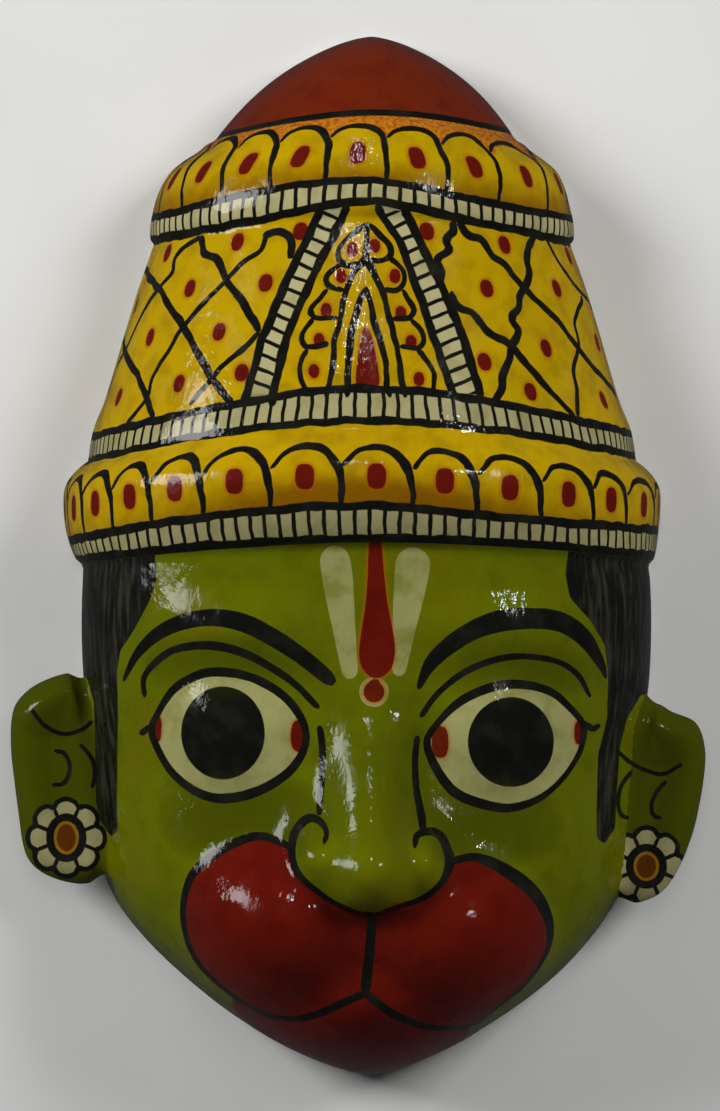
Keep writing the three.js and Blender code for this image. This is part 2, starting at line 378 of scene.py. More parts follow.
def smooth_path(points: Iterable[Sequence[float]], steps: int = 6, closed: bool = False) -> Array:
    """Points along a smooth curve through given ones.

    Args:
        points: The points it passes through; numbers after the first two are carried along.
        steps: How many steps to take between each two of them.
        closed: Whether it runs back to its start.

    Returns:
        The points, one a row.
    """
    points = np.array(list(points), dtype=float)
    count = len(points)
    if closed:
        points = np.concatenate([points[-3:], points, points[:4]])
    chords = np.linalg.norm(np.diff(points[:, :2], axis=0), axis=1)
    at = np.concatenate([[0], np.cumsum(np.maximum(chords, TINY))])
    spans = range(3, 3 + count) if closed else range(count - 1)
    places = [np.linspace(at[i], at[i + 1], steps, endpoint=False) for i in spans]
    places = np.concatenate([*places, [at[spans[-1] + 1]]])
    return np.stack([curve_through(np.stack([at, column], axis=1))(places) for column in points.T], axis=1)


def legs(path: Array, place: Array, stretch: Array) -> tuple[Array, Array, Array, Array]:
    """How places lie to the straight legs of a path, in millimetres.

    Args:
        path: The path's points, one a row.
        place: The places, one a row.
        stretch: Millimetres for one unit across, at each place.

    Returns:
        Each leg's run across and up, and the way from its start to each place, across and up.
    """
    start, run = path[:-1, :2], np.diff(path[:, :2], axis=0)
    wide = stretch[:, None]
    gap_y = place[:, None, 1] - start[None, :, 1]
    return run[None, :, 0] * wide, run[None, :, 1], (place[:, None, 0] - start[None, :, 0]) * wide, gap_y


class Chart(Enum):
    """How the places in a drawing are given."""

    FRONT = "x and y as they look from the front"
    CROWN = "degrees round from the midline, and y"


@dataclass
class Nearest:
    """Where a path comes nearest to each of some places."""

    signed: Array
    width: Array
    margin: Array


@dataclass(frozen=True)
class Stroke:
    """One stroke of the brush, through (across, y, width) points."""

    points: Line
    chart: Chart = Chart.FRONT
    closed: bool = False

    @classmethod
    def even(
        cls, path: Iterable[Pair], width: float, chart: Chart = Chart.FRONT, closed: bool = False
    ) -> Stroke:
        """A stroke of one width all along a path."""
        return cls(tuple((across, y, width) for across, y in path), chart, closed)

    @property
    def overhang(self) -> float:
        """How far the stroke reaches past its points, in millimetres."""
        return max(width for _, _, width in self.points) / 2

    def depth(self, place: Array, stretch: Array) -> Array:
        """How deep inside the stroke places are, negative outside it."""
        near = self.nearest(place, stretch)
        return near.width / 2 - np.hypot(near.signed, np.maximum(near.width / 2 - near.margin, 0))

    def path(self) -> Array:
        """Points close together along the stroke."""
        return smooth_path(self.points, closed=self.closed)

    def nearest(self, place: Array, stretch: Array) -> Nearest:
        """Where the stroke comes nearest to places.

        Args:
            place: Places in the stroke's chart, one a row.
            stretch: Millimetres for one unit across, at each place.

        Returns:
            The distance with its sign, the width there and how far in from the ends it is.
        """
        path = self.path()
        run_x, run_y, gap_x, gap_y = legs(path, place, stretch)
        length = np.maximum(np.hypot(run_x, run_y), TINY)
        share = (gap_x * run_x + gap_y * run_y) / length**2
        held = np.clip(share, 0, 1)
        away = np.hypot(gap_x - held * run_x, gap_y - held * run_y)
        best = np.argmin(away, axis=1)
        rows = np.arange(len(place))
        beside = (run_x * gap_y - run_y * gap_x)[rows, best] / length[rows, best]
        share, away = share[rows, best], away[rows, best]
        last = len(path) - 2
        before, after = (best == 0) & (share < 0), (best == last) & (share > 1)
        past_end = (before | after) & (not self.closed)
        signed = np.where(past_end, beside, np.sign(beside) * away)
        total = np.concatenate([np.zeros((len(place), 1)), np.cumsum(length, axis=1)], axis=1)
        share = np.where(past_end, share, np.clip(share, 0, 1))
        arc = total[rows, best] + share * length[rows, best]
        margin = np.minimum(arc, total[:, -1] - arc)
        margin = np.full(len(place), FAR_FROM_ENDS) if self.closed else margin
        inner = np.clip(share, 0, 1)
        width = path[best, 2] * (1 - inner) + path[best + 1, 2] * inner
        return Nearest(signed, width, margin)


@dataclass(frozen=True)
class Area:
    """A closed area, smooth or with corners."""

    points: Path
    chart: Chart = Chart.FRONT
    rounded: bool = True
    overhang: float = 0.0

    def depth(self, place: Array, stretch: Array) -> Array:
        """How deep inside the area places are, negative outside it.

        Args:
            place: Places in the area's chart, one a row.
            stretch: Millimetres for one unit across, at each place.

        Returns:
            A depth for each place.
        """
        if self.rounded:
            path = smooth_path(self.points, closed=True)
        else:
            path = np.array([*self.points, self.points[0]], dtype=float)
        run_x, run_y, gap_x, gap_y = legs(path, place, stretch)
        share = np.clip((gap_x * run_x + gap_y * run_y) / np.maximum(run_x**2 + run_y**2, TINY), 0, 1)
        away = np.hypot(gap_x - share * run_x, gap_y - share * run_y).min(axis=1)
        crosses = (gap_y < 0) != (gap_y < run_y)
        with np.errstate(divide="ignore", invalid="ignore"):
            right = gap_x < run_x * gap_y / run_y
        within = np.sum(crosses & right, axis=1) % 2 == 1
        return np.where(within, away, -away)


@dataclass(frozen=True)
class Spot:
    """A dab of the brush: a rounded rectangle, or an ellipse where the squareness is 2."""

    x: float
    y: float
    half_x: float
    half_y: float
    chart: Chart = Chart.FRONT
    squareness: float = 2.6

    @property
    def points(self) -> Path:
        """The spot's middle, the one point that it is drawn about."""
        return ((self.x, self.y),)

    @property
    def overhang(self) -> float:
        """How far the spot reaches from its middle, in millimetres."""
        return max(self.half_x, self.half_y)

    def moved(self, x: float, y: float) -> Spot:
        """The same spot about another middle."""
        return replace(self, x=x, y=y)

    def depth(self, place: Array, stretch: Array) -> Array:
        """How deep inside the spot places are, negative outside it.

        Args:
            place: Places in the spot's chart, one a row.
            stretch: Millimetres for one unit across, at each place.

        Returns:
            A depth for each place.
        """
        across = np.abs(place[:, 0] - self.x) * stretch
        up = np.abs(place[:, 1] - self.y)
        power = self.squareness
        share = ((across / self.half_x) ** power + (up / self.half_y) ** power) ** (1 / power)
        away = np.hypot(across, up)
        reach = np.where(share > 1e-3, away / np.maximum(share, 1e-3), min(self.half_x, self.half_y))
        return reach - away


Shape = Area | Spot | Stroke


class Fill(Enum):
    """Areas of one colour, laid over each other in this order."""

    HAIR = "hair"
    EYE = "eye"
    MARK = "mark"
    RED = "red"
    YELLOW = "yellow"
    ORANGE = "orange"
    CREAM = "cream"
    CORE = "core"
    CAP = "cap"
    SPOT = "spot"
    PUPIL = "pupil"


@dataclass
class Surface:
    """What is known about each point of the mesh before it is painted."""

    seen: Array
    turned: Array
    height: Array
    outer: Array
    head: Array
    shape: HeadShape

    def radius_at(self, y: Array) -> Array:
        """Mean radius of the crown at each height."""
        return (self.shape.half_width(y) + self.shape.height(y)) / 2 + self.shape.crown_step

    def chart(self, chart: Chart) -> tuple[Array, Array]:
        """The points' places in a chart, and the millimetres for one unit across at each.

        Args:
            chart: The chart.

        Returns:
            A row for each point, and its millimetres.
        """
        if chart is Chart.FRONT:
            return self.seen, np.ones(len(self.seen))
        return self.turned, np.radians(self.radius_at(self.turned[:, 1]))


@dataclass
class Painting:
    """Everything painted on the mask, kept as distances at each point of the mesh."""

    surface: Surface
    cell: float = 2.4
    guard: float = 2.2
    reach: float = 6.0
    blunting: float = 0.9
    fills: dict[Fill, Array] = field(init=False)
    lines: list[Array] = field(default_factory=list)
    claims: list[Array] = field(default_factory=list)
    # shade and the array after tick hold painted shade: the first browns the crown's yellow, the other
    # darkens hollows, ears and ladders
    shade: Array = field(init=False)
    tick: Array = field(init=False)
    painted_shade: Array = field(init=False)

    def __post_init__(self) -> None:
        """Starts with nothing painted."""
        count = len(self.surface.seen)
        self.fills = {fill: np.full(count, FAR_OUTSIDE) for fill in Fill}
        self.shade, self.tick, self.painted_shade = np.zeros((3, count))

    def near(self, shape: Shape, reach: float, where: Array | None) -> Array:
        """Numbers of the mesh points close to a shape, by the box round it.

        Args:
            shape: What is drawn.
            reach: How far round the box to look, in millimetres.
            where: The mesh points to paint, or None for the whole outside.

        Returns:
            The numbers of those points.
        """
        where = self.surface.outer if where is None else where
        place, stretch = self.surface.chart(shape.chart)
        corners = np.array([point[:2] for point in shape.points])
        low, high = corners.min(axis=0), corners.max(axis=0)
        beside = np.maximum(low[0] - place[:, 0], place[:, 0] - high[0]) * stretch
        above = np.maximum(low[1] - place[:, 1], place[:, 1] - high[1])
        return np.flatnonzero(where & (beside < reach) & (above < reach))

    def measured(self, shape: Shape, where: Array | None = None) -> tuple[Array, Array]:
        """Finds the mesh points close to a shape.

        Args:
            shape: What is drawn.
            where: The mesh points to paint, or None for the whole outside.

        Returns:
            The points' numbers, and how deep inside the shape each of them is.
        """
        found = self.near(shape, shape.overhang + self.reach, where)
        place, stretch = self.surface.chart(shape.chart)
        return found, shape.depth(place[found], stretch[found])

    def fill(self, fill: Fill, shape: Shape, where: Array | None = None, floor: Array | None = None) -> None:
        """Adds a shape to a colour.

        Args:
            fill: The colour.
            shape: The shape.
            where: The mesh points to paint, or None for the whole outside.
            floor: The height over the rim that the colour stops at, for each mesh point, if it does.
        """
        found, depth = self.measured(shape, where)
        if floor is not None:
            depth = np.minimum(depth, (self.surface.height - floor)[found])
        self.fills[fill][found] = np.maximum(self.fills[fill][found], depth)

    def clear(self, fill: Fill, shape: Shape) -> None:
        """Takes a shape out of a colour."""
        found, depth = self.measured(shape)
        self.fills[fill][found] = np.minimum(self.fills[fill][found], -depth)

    def band(self, fill: Fill, low: Array, high: Array) -> None:
        """Adds a band round the crown to a colour, between two heights at each mesh point."""
        depth = np.minimum(self.surface.turned[:, 1] - low, high - self.surface.turned[:, 1])
        self.fills[fill] = np.maximum(self.fills[fill], np.where(self.surface.outer, depth, FAR_OUTSIDE))

    def ticks(self, low: Array, high: Array, gap: float) -> None:
        """Counts the ticks round a ladder, from its left rim.

        Args:
            low: The ladder's lower edge.
            high: Its upper edge.
            gap: Millimetres from tick to tick.
        """
        turn, y = self.surface.turned.T
        found = (y > low - self.cell / 2) & (y < high + self.cell / 2)
        middle = self.surface.radius_at((low + high) / 2)
        self.tick[found] = (np.radians(turn) * middle / gap)[found]

    def rungs(self, area: Area, gap: float, slant: float) -> None:
        """Counts the rungs up a slanting ladder, each tilted by the slant.

        Args:
            area: The ladder.
            gap: Millimetres from rung to rung.
            slant: How steeply the rungs fall towards the right.
        """
        found, depth = self.measured(area)
        found = found[depth > -self.cell]
        x, y = self.surface.seen[found].T
        self.tick[found] = (y + slant * x) / gap

    def line(self, stroke: Stroke, where: Array | None = None) -> None:
        """Adds a line of ink, on the first sheet where it keeps clear of the others.

        Args:
            stroke: The line.
            where: The mesh points to paint, or None for the whole outside.
        """
        found = self.near(stroke, 2 * (stroke.overhang + self.cell) + self.guard, where)
        place, stretch = self.surface.chart(stroke.chart)
        near = stroke.nearest(place[found], stretch[found])
        short = np.clip(1 - 2 * near.margin / near.width, 0, 1)
        half = near.width / 2 * np.sqrt(1 - self.blunting * short**2)
        claimed = (np.abs(near.signed) < half + self.guard + self.cell) & (near.margin > -2 * self.cell)
        found, half = found[claimed], half[claimed]
        signed, margin = near.signed[claimed], near.margin[claimed]
        guard = np.minimum(margin, half + self.guard - np.abs(signed))
        for sheet, claim in zip(self.lines, self.claims):
            if not claim[found].any():
                break
        else:
            sheet = np.tile(NO_LINE, (len(self.surface.seen), 1))
            claim = np.zeros(len(self.surface.seen), dtype=bool)
            self.lines.append(sheet)
            self.claims.append(claim)
        claim[found] = True
        sheet[found] = np.stack([signed, half, guard], axis=1)


@dataclass(frozen=True)
class Brows:
    """Thick brows, and the thin crease under each."""

    strokes: tuple[Line, ...] = (
        (
            (-86.4, -46.3, 1.4), (-81.6, -36.8, 3.2), (-73.7, -28.9, 5), (-63.4, -24.3, 5.9),
            (-53.1, -23, 6.4), (-42.4, -24.9, 6.8), (-31.4, -30.3, 6.6), (-21.1, -37.1, 6),
            (-11.9, -44.6, 5.4), (-8.9, -47.2, 4),
        ),
        (
            (21.9, -49.2, 1.8), (25.9, -40.8, 4.8), (31.4, -34.9, 6.2), (41.7, -27.9, 7), (52, -24.3, 8.1),
            (64.5, -23.3, 7.7), (74.8, -24.8, 7.3), (82.9, -30.5, 6.2), (89.1, -40.1, 3.3), (91, -45.2, 1.1),
        ),
        (
            (-78.6, -52.2, 2), (-78.9, -45.3, 2), (-74.4, -39.3, 2.7), (-67.4, -34.7, 2.8),
            (-54.9, -33.2, 3.3), (-43.7, -35.5, 3.2), (-33.9, -40.3, 2.9), (-23.5, -47.3, 2.5),
            (-14.7, -56.3, 2.5),
        ),
        (
            (22.9, -59.5, 2.2), (28.9, -51.1, 2.2), (39.4, -42.8, 2.5), (51.9, -38.1, 2.5),
            (62.3, -37.3, 2.3), (74.2, -39.6, 2.1), (81, -44.5, 2.1), (85.1, -52.2, 1.5),
        ),
    )

    def paint(self, painting: Painting) -> None:
        """Paints the brows and creases."""
        for points in self.strokes:
            painting.line(Stroke(points))


@dataclass(frozen=True)
class Eyes:
    """White eyes with black rims, big pupils and red corners."""

    rims: tuple[Line, ...] = (
        (
            (-76.1, -63.9, 2.6), (-73.7, -58.1, 2.4), (-67.8, -49.3, 3), (-58.6, -44, 3.4),
            (-50.1, -43, 3.5), (-38.9, -45.2, 3.3), (-27.8, -51.6, 3.2), (-21.2, -59.7, 3),
            (-19.2, -66.9, 2.8), (-21.4, -74.3, 3.1), (-27.6, -81.4, 3.4), (-38.4, -87.3, 3.7),
            (-50.2, -89.5, 3.6), (-59.8, -86.9, 3.2), (-68.8, -79.6, 2.8), (-74.5, -69.7, 2.6),
        ),
        (
            (25.1, -68.6, 2.8), (28.7, -62.3, 2.5), (36.8, -54.3, 3.2), (47.3, -49.1, 3.5),
            (58.1, -47.5, 3.4), (70.3, -50.1, 3), (78.7, -57.1, 2.5), (82.4, -62.1, 2.4), (82.8, -66.2, 2.3),
            (80.8, -73.4, 2), (75.1, -82, 2.1), (66.9, -89.2, 2.5), (56, -92.9, 3.2), (45.9, -91.6, 3.7),
            (35.2, -87.1, 3.8), (28.2, -77.7, 3.4),
        ),
    )
    pupils: tuple[Spot, ...] = (
        Spot(-49.8, -65.4, 15.4, 17.1, squareness=2),
        Spot(56, -68.7, 15.8, 16.5, squareness=2),
    )
    corners: tuple[Spot, ...] = (
        Spot(-74.1, -63.6, 1.7, 5.2),
        Spot(-21.9, -66.5, 3, 5.9),
        Spot(30, -68.7, 3.1, 5.9),
        Spot(81, -65.4, 1.7, 4.4),
    )
    lashes: tuple[Line, ...] = (
        ((-80.3, -65.9, 2.6), (-76.3, -62.8, 2.2)),
        ((82, -61.4, 2.4), (86.2, -63.8, 2.4), (88.7, -62.3, 1.6)),
    )

    def paint(self, painting: Painting) -> None:
        """Paints both eyes.

        Args:
            painting: The painting it goes on.
        """
        for rim in self.rims:
            painting.fill(Fill.EYE, Area(places_of(rim)))
            painting.line(Stroke(rim, closed=True))
        for pupil in self.pupils:
            painting.fill(Fill.PUPIL, pupil)
        for corner in self.corners:
            painting.fill(Fill.SPOT, corner)
        for lash in self.lashes:
            painting.line(Stroke(lash))


@dataclass(frozen=True)
class NoseAndMouth:
    """The nose's lines, and the red muzzle and lips round and under it."""

    bridge: tuple[Line, ...] = (
        ((-14.3, -62.8, 2.5), (-13.3, -70.9, 2.6), (-13.3, -80.8, 2.4), (-14.6, -95.5, 2.3)),
        ((21.6, -66.5, 2.4), (20.8, -75.7, 2.4), (21.3, -86, 2.5), (23.2, -96.3, 3), (23.9, -102, 2.6)),
    )
    edge: Line = (
        (-12.7, -106.2, 1.8), (-11.7, -101.5, 2), (-14.7, -97.4, 2.8), (-18.4, -96.7, 3.4),
        (-22.1, -99.9, 3.3), (-24.2, -104.4, 3.1), (-24.4, -111, 2.8), (-21.9, -117.5, 2.6),
        (-13.6, -124.8, 2.1), (-5.7, -129.4, 1.8), (5, -132.3, 1.8), (13.8, -129.4, 1.8),
        (23.7, -126.1, 2.4), (30.7, -120.2, 2.4), (33.6, -112.8, 3.9), (32.4, -107.7, 3.3),
        (29.9, -102.9, 3.3), (26.3, -101.5, 3.1), (21.6, -103, 2.7), (20.7, -107.7, 1.7),
    )
    left_lobe: Line = (
        (-23.7, -107.7, 2.4), (-36.2, -103.3, 3.3), (-47.7, -107, 3.2), (-59.9, -115.9, 3.2),
        (-64.1, -126.4, 2.4), (-63.8, -138.2, 2), (-59.7, -148.8, 1.9), (-52.4, -156.9, 1.6),
        (-43.2, -163.9, 1.4), (-33.6, -169, 1.6), (-23.3, -170.4, 2.3), (-14.9, -168.6, 2.9),
        (-5.4, -164.5, 3), (2.4, -161, 3),
    )
    right_lobe: Line = (
        (34.4, -112.5, 2.8), (42.4, -111, 3.2), (52.4, -114.9, 4.6), (63.5, -123, 4.9), (69.4, -132.6, 3.8),
        (70.3, -141.8, 2.2), (66.6, -150.6, 1.5), (60.3, -158.8, 1.1), (51, -166.3, 0.9), (41, -173, 1.1),
        (29.6, -173.9, 2.2), (21.5, -172.4, 2.6), (11.9, -168.3, 3.1), (2.4, -161, 3),
    )
    philtrum: Line = ((5.3, -132.3, 3.5), (3.9, -147, 3.7), (2.4, -161, 3.9))
    lower_lip: Path = (
        (-46.5, -162), (-23.3, -168), (2.4, -158), (29.6, -171), (41, -172), (40, -200), (-43.5, -200),
    )
    under_nose: Pair = (4, -120)
    lip_middle: float = -2.4
    lip_half_width: float = 44.0
    lip_stops_over_rim: float = 9.0
    lip_corner_rise: float = 34.0

    def paint(self, painting: Painting) -> None:
        """Paints the muzzle, the lips and the nose's outline.

        Args:
            painting: The painting it goes on.
        """
        for lobe in (self.left_lobe, self.right_lobe):
            painting.fill(Fill.RED, Area((*places_of(lobe), self.under_nose), rounded=False))
            painting.line(Stroke(lobe))
        beside = np.clip((painting.surface.seen[:, 0] - self.lip_middle) / self.lip_half_width, -1, 1)
        floor = self.lip_stops_over_rim + self.lip_corner_rise * (1 - np.sqrt(1 - beside**2))
        painting.fill(Fill.RED, Area(self.lower_lip, rounded=False), floor=floor)
        painting.clear(Fill.RED, Area(places_of(self.edge)))
        painting.line(Stroke(self.edge))
        painting.line(Stroke(self.philtrum))
        for points in self.bridge:
            painting.line(Stroke(points))


@dataclass(frozen=True)
class ForeheadMark:
    """Two white strokes with a red flame between them and a dot below."""

    white: tuple[Line, ...] = (
        ((-9.4, 3.4, 10.6), (-7.8, -8, 11.2), (-5.2, -28, 8.2), (-2.8, -45.5, 5.6)),
        ((20.8, 2.8, 12.6), (19.4, -8, 12.4), (16.6, -28, 8.4), (14.6, -44.5, 4.6)),
    )
    red: Line = ((6.1, 6, 4.4), (6.6, -16, 7.6), (6.9, -34, 13.2), (6.4, -41.5, 11.5), (6.1, -45.3, 8))
    dot: Spot = Spot(5.7, -50.3, 3.9, 3.9, squareness=2)
    ring: float = 1.6

    def paint(self, painting: Painting) -> None:
        """Paints the mark.

        Args:
            painting: The painting it goes on.
        """
        for points in self.white:
            painting.fill(Fill.MARK, Stroke(points))
        half = self.dot.half_x + self.ring
        painting.fill(Fill.MARK, replace(self.dot, half_x=half, half_y=half))
        painting.fill(Fill.SPOT, Stroke(self.red))
        painting.fill(Fill.SPOT, self.dot)


@dataclass(frozen=True)
class Hair:
    """Black hair down both sides of the face, which runs back to the rim, with a lock before each ear."""

    left: Path = (
        (-74.8, 24), (-74.8, -0.4), (-74.1, -8.8), (-76.6, -16.5), (-82.5, -27.6), (-87.6, -35.3),
        (-88.8, -43.4), (-88.4, -56.2), (-88.8, -90.4), (-88.4, -101.5), (-91, -103.5), (-95, -97.4),
        (-96.5, -90.4), (-96.8, -70.9), (-97.2, -54), (-99.8, -45.2), (-140, -45.2), (-140, 24),
    )
    right: Path = (
        (77, 24), (77, 0.4), (75.9, -6.6), (77.7, -15.8), (85.1, -23.9), (90.2, -32.3), (91.7, -42.6),
        (91.3, -59.9), (88, -73.5), (87.6, -91.1), (87.6, -104.4), (90.5, -106), (94.3, -100.3), (95, -86),
        (96.1, -70.6), (98.7, -59.9), (103.8, -51.4), (140, -51.4), (140, 24),
    )
    lock_edge: float = 98.0

    def paint(self, painting: Painting) -> None:
        """Paints the hair, on the head alone.

        Args:
            painting: The painting it goes on.
        """
        surface = painting.surface
        beside_ear = np.abs(surface.seen[:, 0]) < self.lock_edge
        where = surface.outer & (surface.head | beside_ear)
        for side in (self.left, self.right):
            painting.fill(Fill.HAIR, Area(side, rounded=False), where)


@dataclass(frozen=True)
class Earring:
    """A round ear ornament of petals about a red stone."""

    x: float
    y: float
    stone_x: float
    stone_y: float
    halo: float = 1.1
    ring_width: float = 2.9
    reach: float = 14.2
    notch: float = 2.4
    roundness: float = 0.6
    petals: int = 8
    points_a_petal: int = 6
    edge_width: float = 1.8
    spoke_width: float = 1.5

    def edge(self, turn: float) -> Pair:
        """The point of the scalloped edge at a turn."""
        reach = self.reach - self.notch * (1 - abs(math.cos(turn * self.petals / 2)) ** self.roundness)
        return self.around(turn, reach, reach)

    def around(self, turn: float, reach_x: float, reach_y: float) -> Pair:
        """The point at a turn on an ellipse about the stone."""
        return self.x + reach_x * math.cos(turn), self.y + reach_y * math.sin(turn)

    def paint(self, painting: Painting, where: Array) -> None:
        """Paints the ornament on the mesh points given.

        Args:
            painting: The painting it goes on.
            where: The mesh points to paint.
        """
        turns = np.linspace(0, math.tau, self.points_a_petal * self.petals, endpoint=False).tolist()
        edge = tuple(self.edge(turn) for turn in turns)
        painting.fill(Fill.CREAM, Area(edge, rounded=False), where)
        painting.line(Stroke.even(edge, self.edge_width, closed=True), where)
        halo_x, halo_y = self.stone_x + self.halo, self.stone_y + self.halo
        painting.fill(Fill.CORE, Spot(self.x, self.y, halo_x, halo_y, squareness=2), where)
        ring_x, ring_y = halo_x + self.ring_width / 2, halo_y + self.ring_width / 2
        ring = (self.around(turn, ring_x, ring_y) for turn in turns[::3])
        painting.line(Stroke.even(ring, self.ring_width, closed=True), where)
        painting.fill(Fill.SPOT, Spot(self.x, self.y, self.stone_x, self.stone_y, squareness=2), where)
        for i in range(self.petals):
            turn = math.tau * (i + 0.5) / self.petals
            reaches = (ring_x, (ring_x + self.reach) / 2, self.reach - self.notch)
            spoke = (self.around(turn, reach, reach) for reach in reaches)
            painting.line(Stroke.even(spoke, self.spoke_width), where)


@dataclass(frozen=True)
class EarPaint:
    """The folds drawn on both ears, and their ornaments."""

    width: float = 1.6
    least_height: float = 12.0
    folds: tuple[Path, ...] = (
        ((-120, -57), (-115.2, -62.8), (-108.2, -65.8), (-101.2, -63.9), (-97.9, -61)),
        ((-111.9, -72), (-108.2, -72.8), (-106, -77.9), (-108.2, -83.8), (-112.6, -84.5)),
        ((-102.3, -69.5), (-97.9, -75), (-96.9, -80.5), (-97.9, -85.6)),
        ((95, -72), (99.8, -76.1), (105.3, -79), (111.9, -80.5), (118.9, -76.8)),
        ((100.5, -79.4), (96.5, -84.9), (95.4, -91.1), (96.5, -95.5), (99.4, -96.7)),
        ((113, -83.1), (109.3, -87.5), (107.5, -93), (108.6, -95.9), (111.2, -96.7)),
    )
    earrings: tuple[Earring, ...] = (Earring(-107.4, -103.9, 3.5, 5), Earring(105.8, -114.4, 3.6, 4.3))

    def paint(self, painting: Painting) -> None:
        """Paints both ears.

        Args:
            painting: The painting it goes on.
        """
        surface = painting.surface
        high = surface.outer & (surface.height > self.least_height)
        for fold in self.folds:
            painting.line(Stroke.even(fold, self.width), high)
        for earring in self.earrings:
            earring.paint(painting, high & ~surface.head)


@dataclass(frozen=True)
class Level:
    """A line round the crown, by its height at the left side, half-way, the midline, half-way and right."""

    heights: tuple[float, float, float, float, float]
    width: float = 3.0
    reach: float = 95
    points: int = 25

    def at(self, turn: Array) -> Array:
        """The line's height at each turn."""
        sides = (-1.0, -0.5, 0.0, 0.5, 1.0)
        return curve_through(tuple(zip(sides, self.heights)))(np.sin(np.radians(turn)))

    def stroke(self) -> Stroke:
        """The line as a stroke of the brush."""
        turns = np.linspace(-self.reach, self.reach, self.points)
        return Stroke.even(zip(turns, self.at(turns)), self.width, Chart.CROWN)


@dataclass(frozen=True)
class Ladder:
    """A cream band round the crown between two lines, crossed by black ticks."""

    below: Level
    above: Level
    # How far painted shade darkens the band, for the ladders low on the crown's rolls
    painted_shade: float = 0.0
    tick_gap: float = 4.9

    def paint(self, painting: Painting) -> None:
        """Paints the band and its lines.

        Args:
            painting: The painting it goes on.
        """
        turn, y = painting.surface.turned.T
        low, high = self.below.at(turn), self.above.at(turn)
        painting.band(Fill.CREAM, low, high)
        painting.ticks(low, high, self.tick_gap)
        # Painted shade over the band
        painting.painted_shade[(y > low) & (y < high)] = self.painted_shade
        painting.line(self.below.stroke())
        painting.line(self.above.stroke())


@dataclass(frozen=True)
class Petals:
    """A row of round-topped petals, each with a red dab and a black line over it and down its right."""

    feet: tuple[float, ...]
    base: Level
    top: Level
    dab: Spot
    spread: float = 0.0
    # How deep the painted shade at the petals' feet lies, over the flanks and more over the crown's front
    foot_shade: float = 0.65
    middle_shade: float = 0.8
    shade_reach: float = 0.6
    shade_overlap: float = 0.2
    outline: Line = (
        (0.02, 0.66, 1.5), (0.25, 0.93, 2), (0.5, 1, 2.6), (0.75, 0.93, 3), (0.93, 0.68, 3), (1, 0.35, 2.4),
        (1.02, 0, 1.6),
    )

    def point(self, turn: float, share: float) -> Pair:
        """The place a share of the way up the row at a turn."""
        base, top = float(self.base.at(np.array(turn))), float(self.top.at(np.array(turn)))
        return turn * (1 + self.spread * share), base + share * (top - base)

    def roof(self, turn: Array) -> Array:
        """The height of the petals' tops at each turn.

        Args:
            turn: Turns round the crown, in degrees.

        Returns:
            A height for each.
        """
        feet = np.array(self.feet)
        i = np.searchsorted(feet, turn / (1 + self.spread), side="right") - 1
        i = np.clip(i, 0, len(feet) - 2)
        past = (turn / (1 + self.spread) - feet[i]) / (feet[i + 1] - feet[i])
        top = curve_through(tuple((t, h) for t, h, _ in self.outline))(past)
        base = self.base.at(turn)
        return base + np.maximum(top, self.outline[0][1]) * (self.top.at(turn) - base)

    def paint(self, painting: Painting) -> None:
        """Paints the row.

        Args:
            painting: The painting it goes on.
        """
        for left, right in zip(self.feet, self.feet[1:]):
            wide = right - left
            line = ((*self.point(left + wide * t, h), w) for t, h, w in self.outline)
            painting.line(Stroke(tuple(line), Chart.CROWN))
            turn, y = self.point(left + wide * 0.5, 0.5)
            painting.fill(Fill.SPOT, self.dab.moved(turn, y))
        # Painted shade: brown at the petals' feet, partly their own paint, and deeper at the crown's front
        turn, y = painting.surface.turned.T
        base = self.base.at(turn)
        share = (y - base) / (self.top.at(turn) - base)
        within = painting.surface.outer & (share > -self.shade_overlap) & (share < 1)
        depth = self.foot_shade + self.middle_shade * crown_front(turn)
        painting.shade[within] = (depth * (1 - np.clip(share / self.shade_reach, 0, 1)))[within]


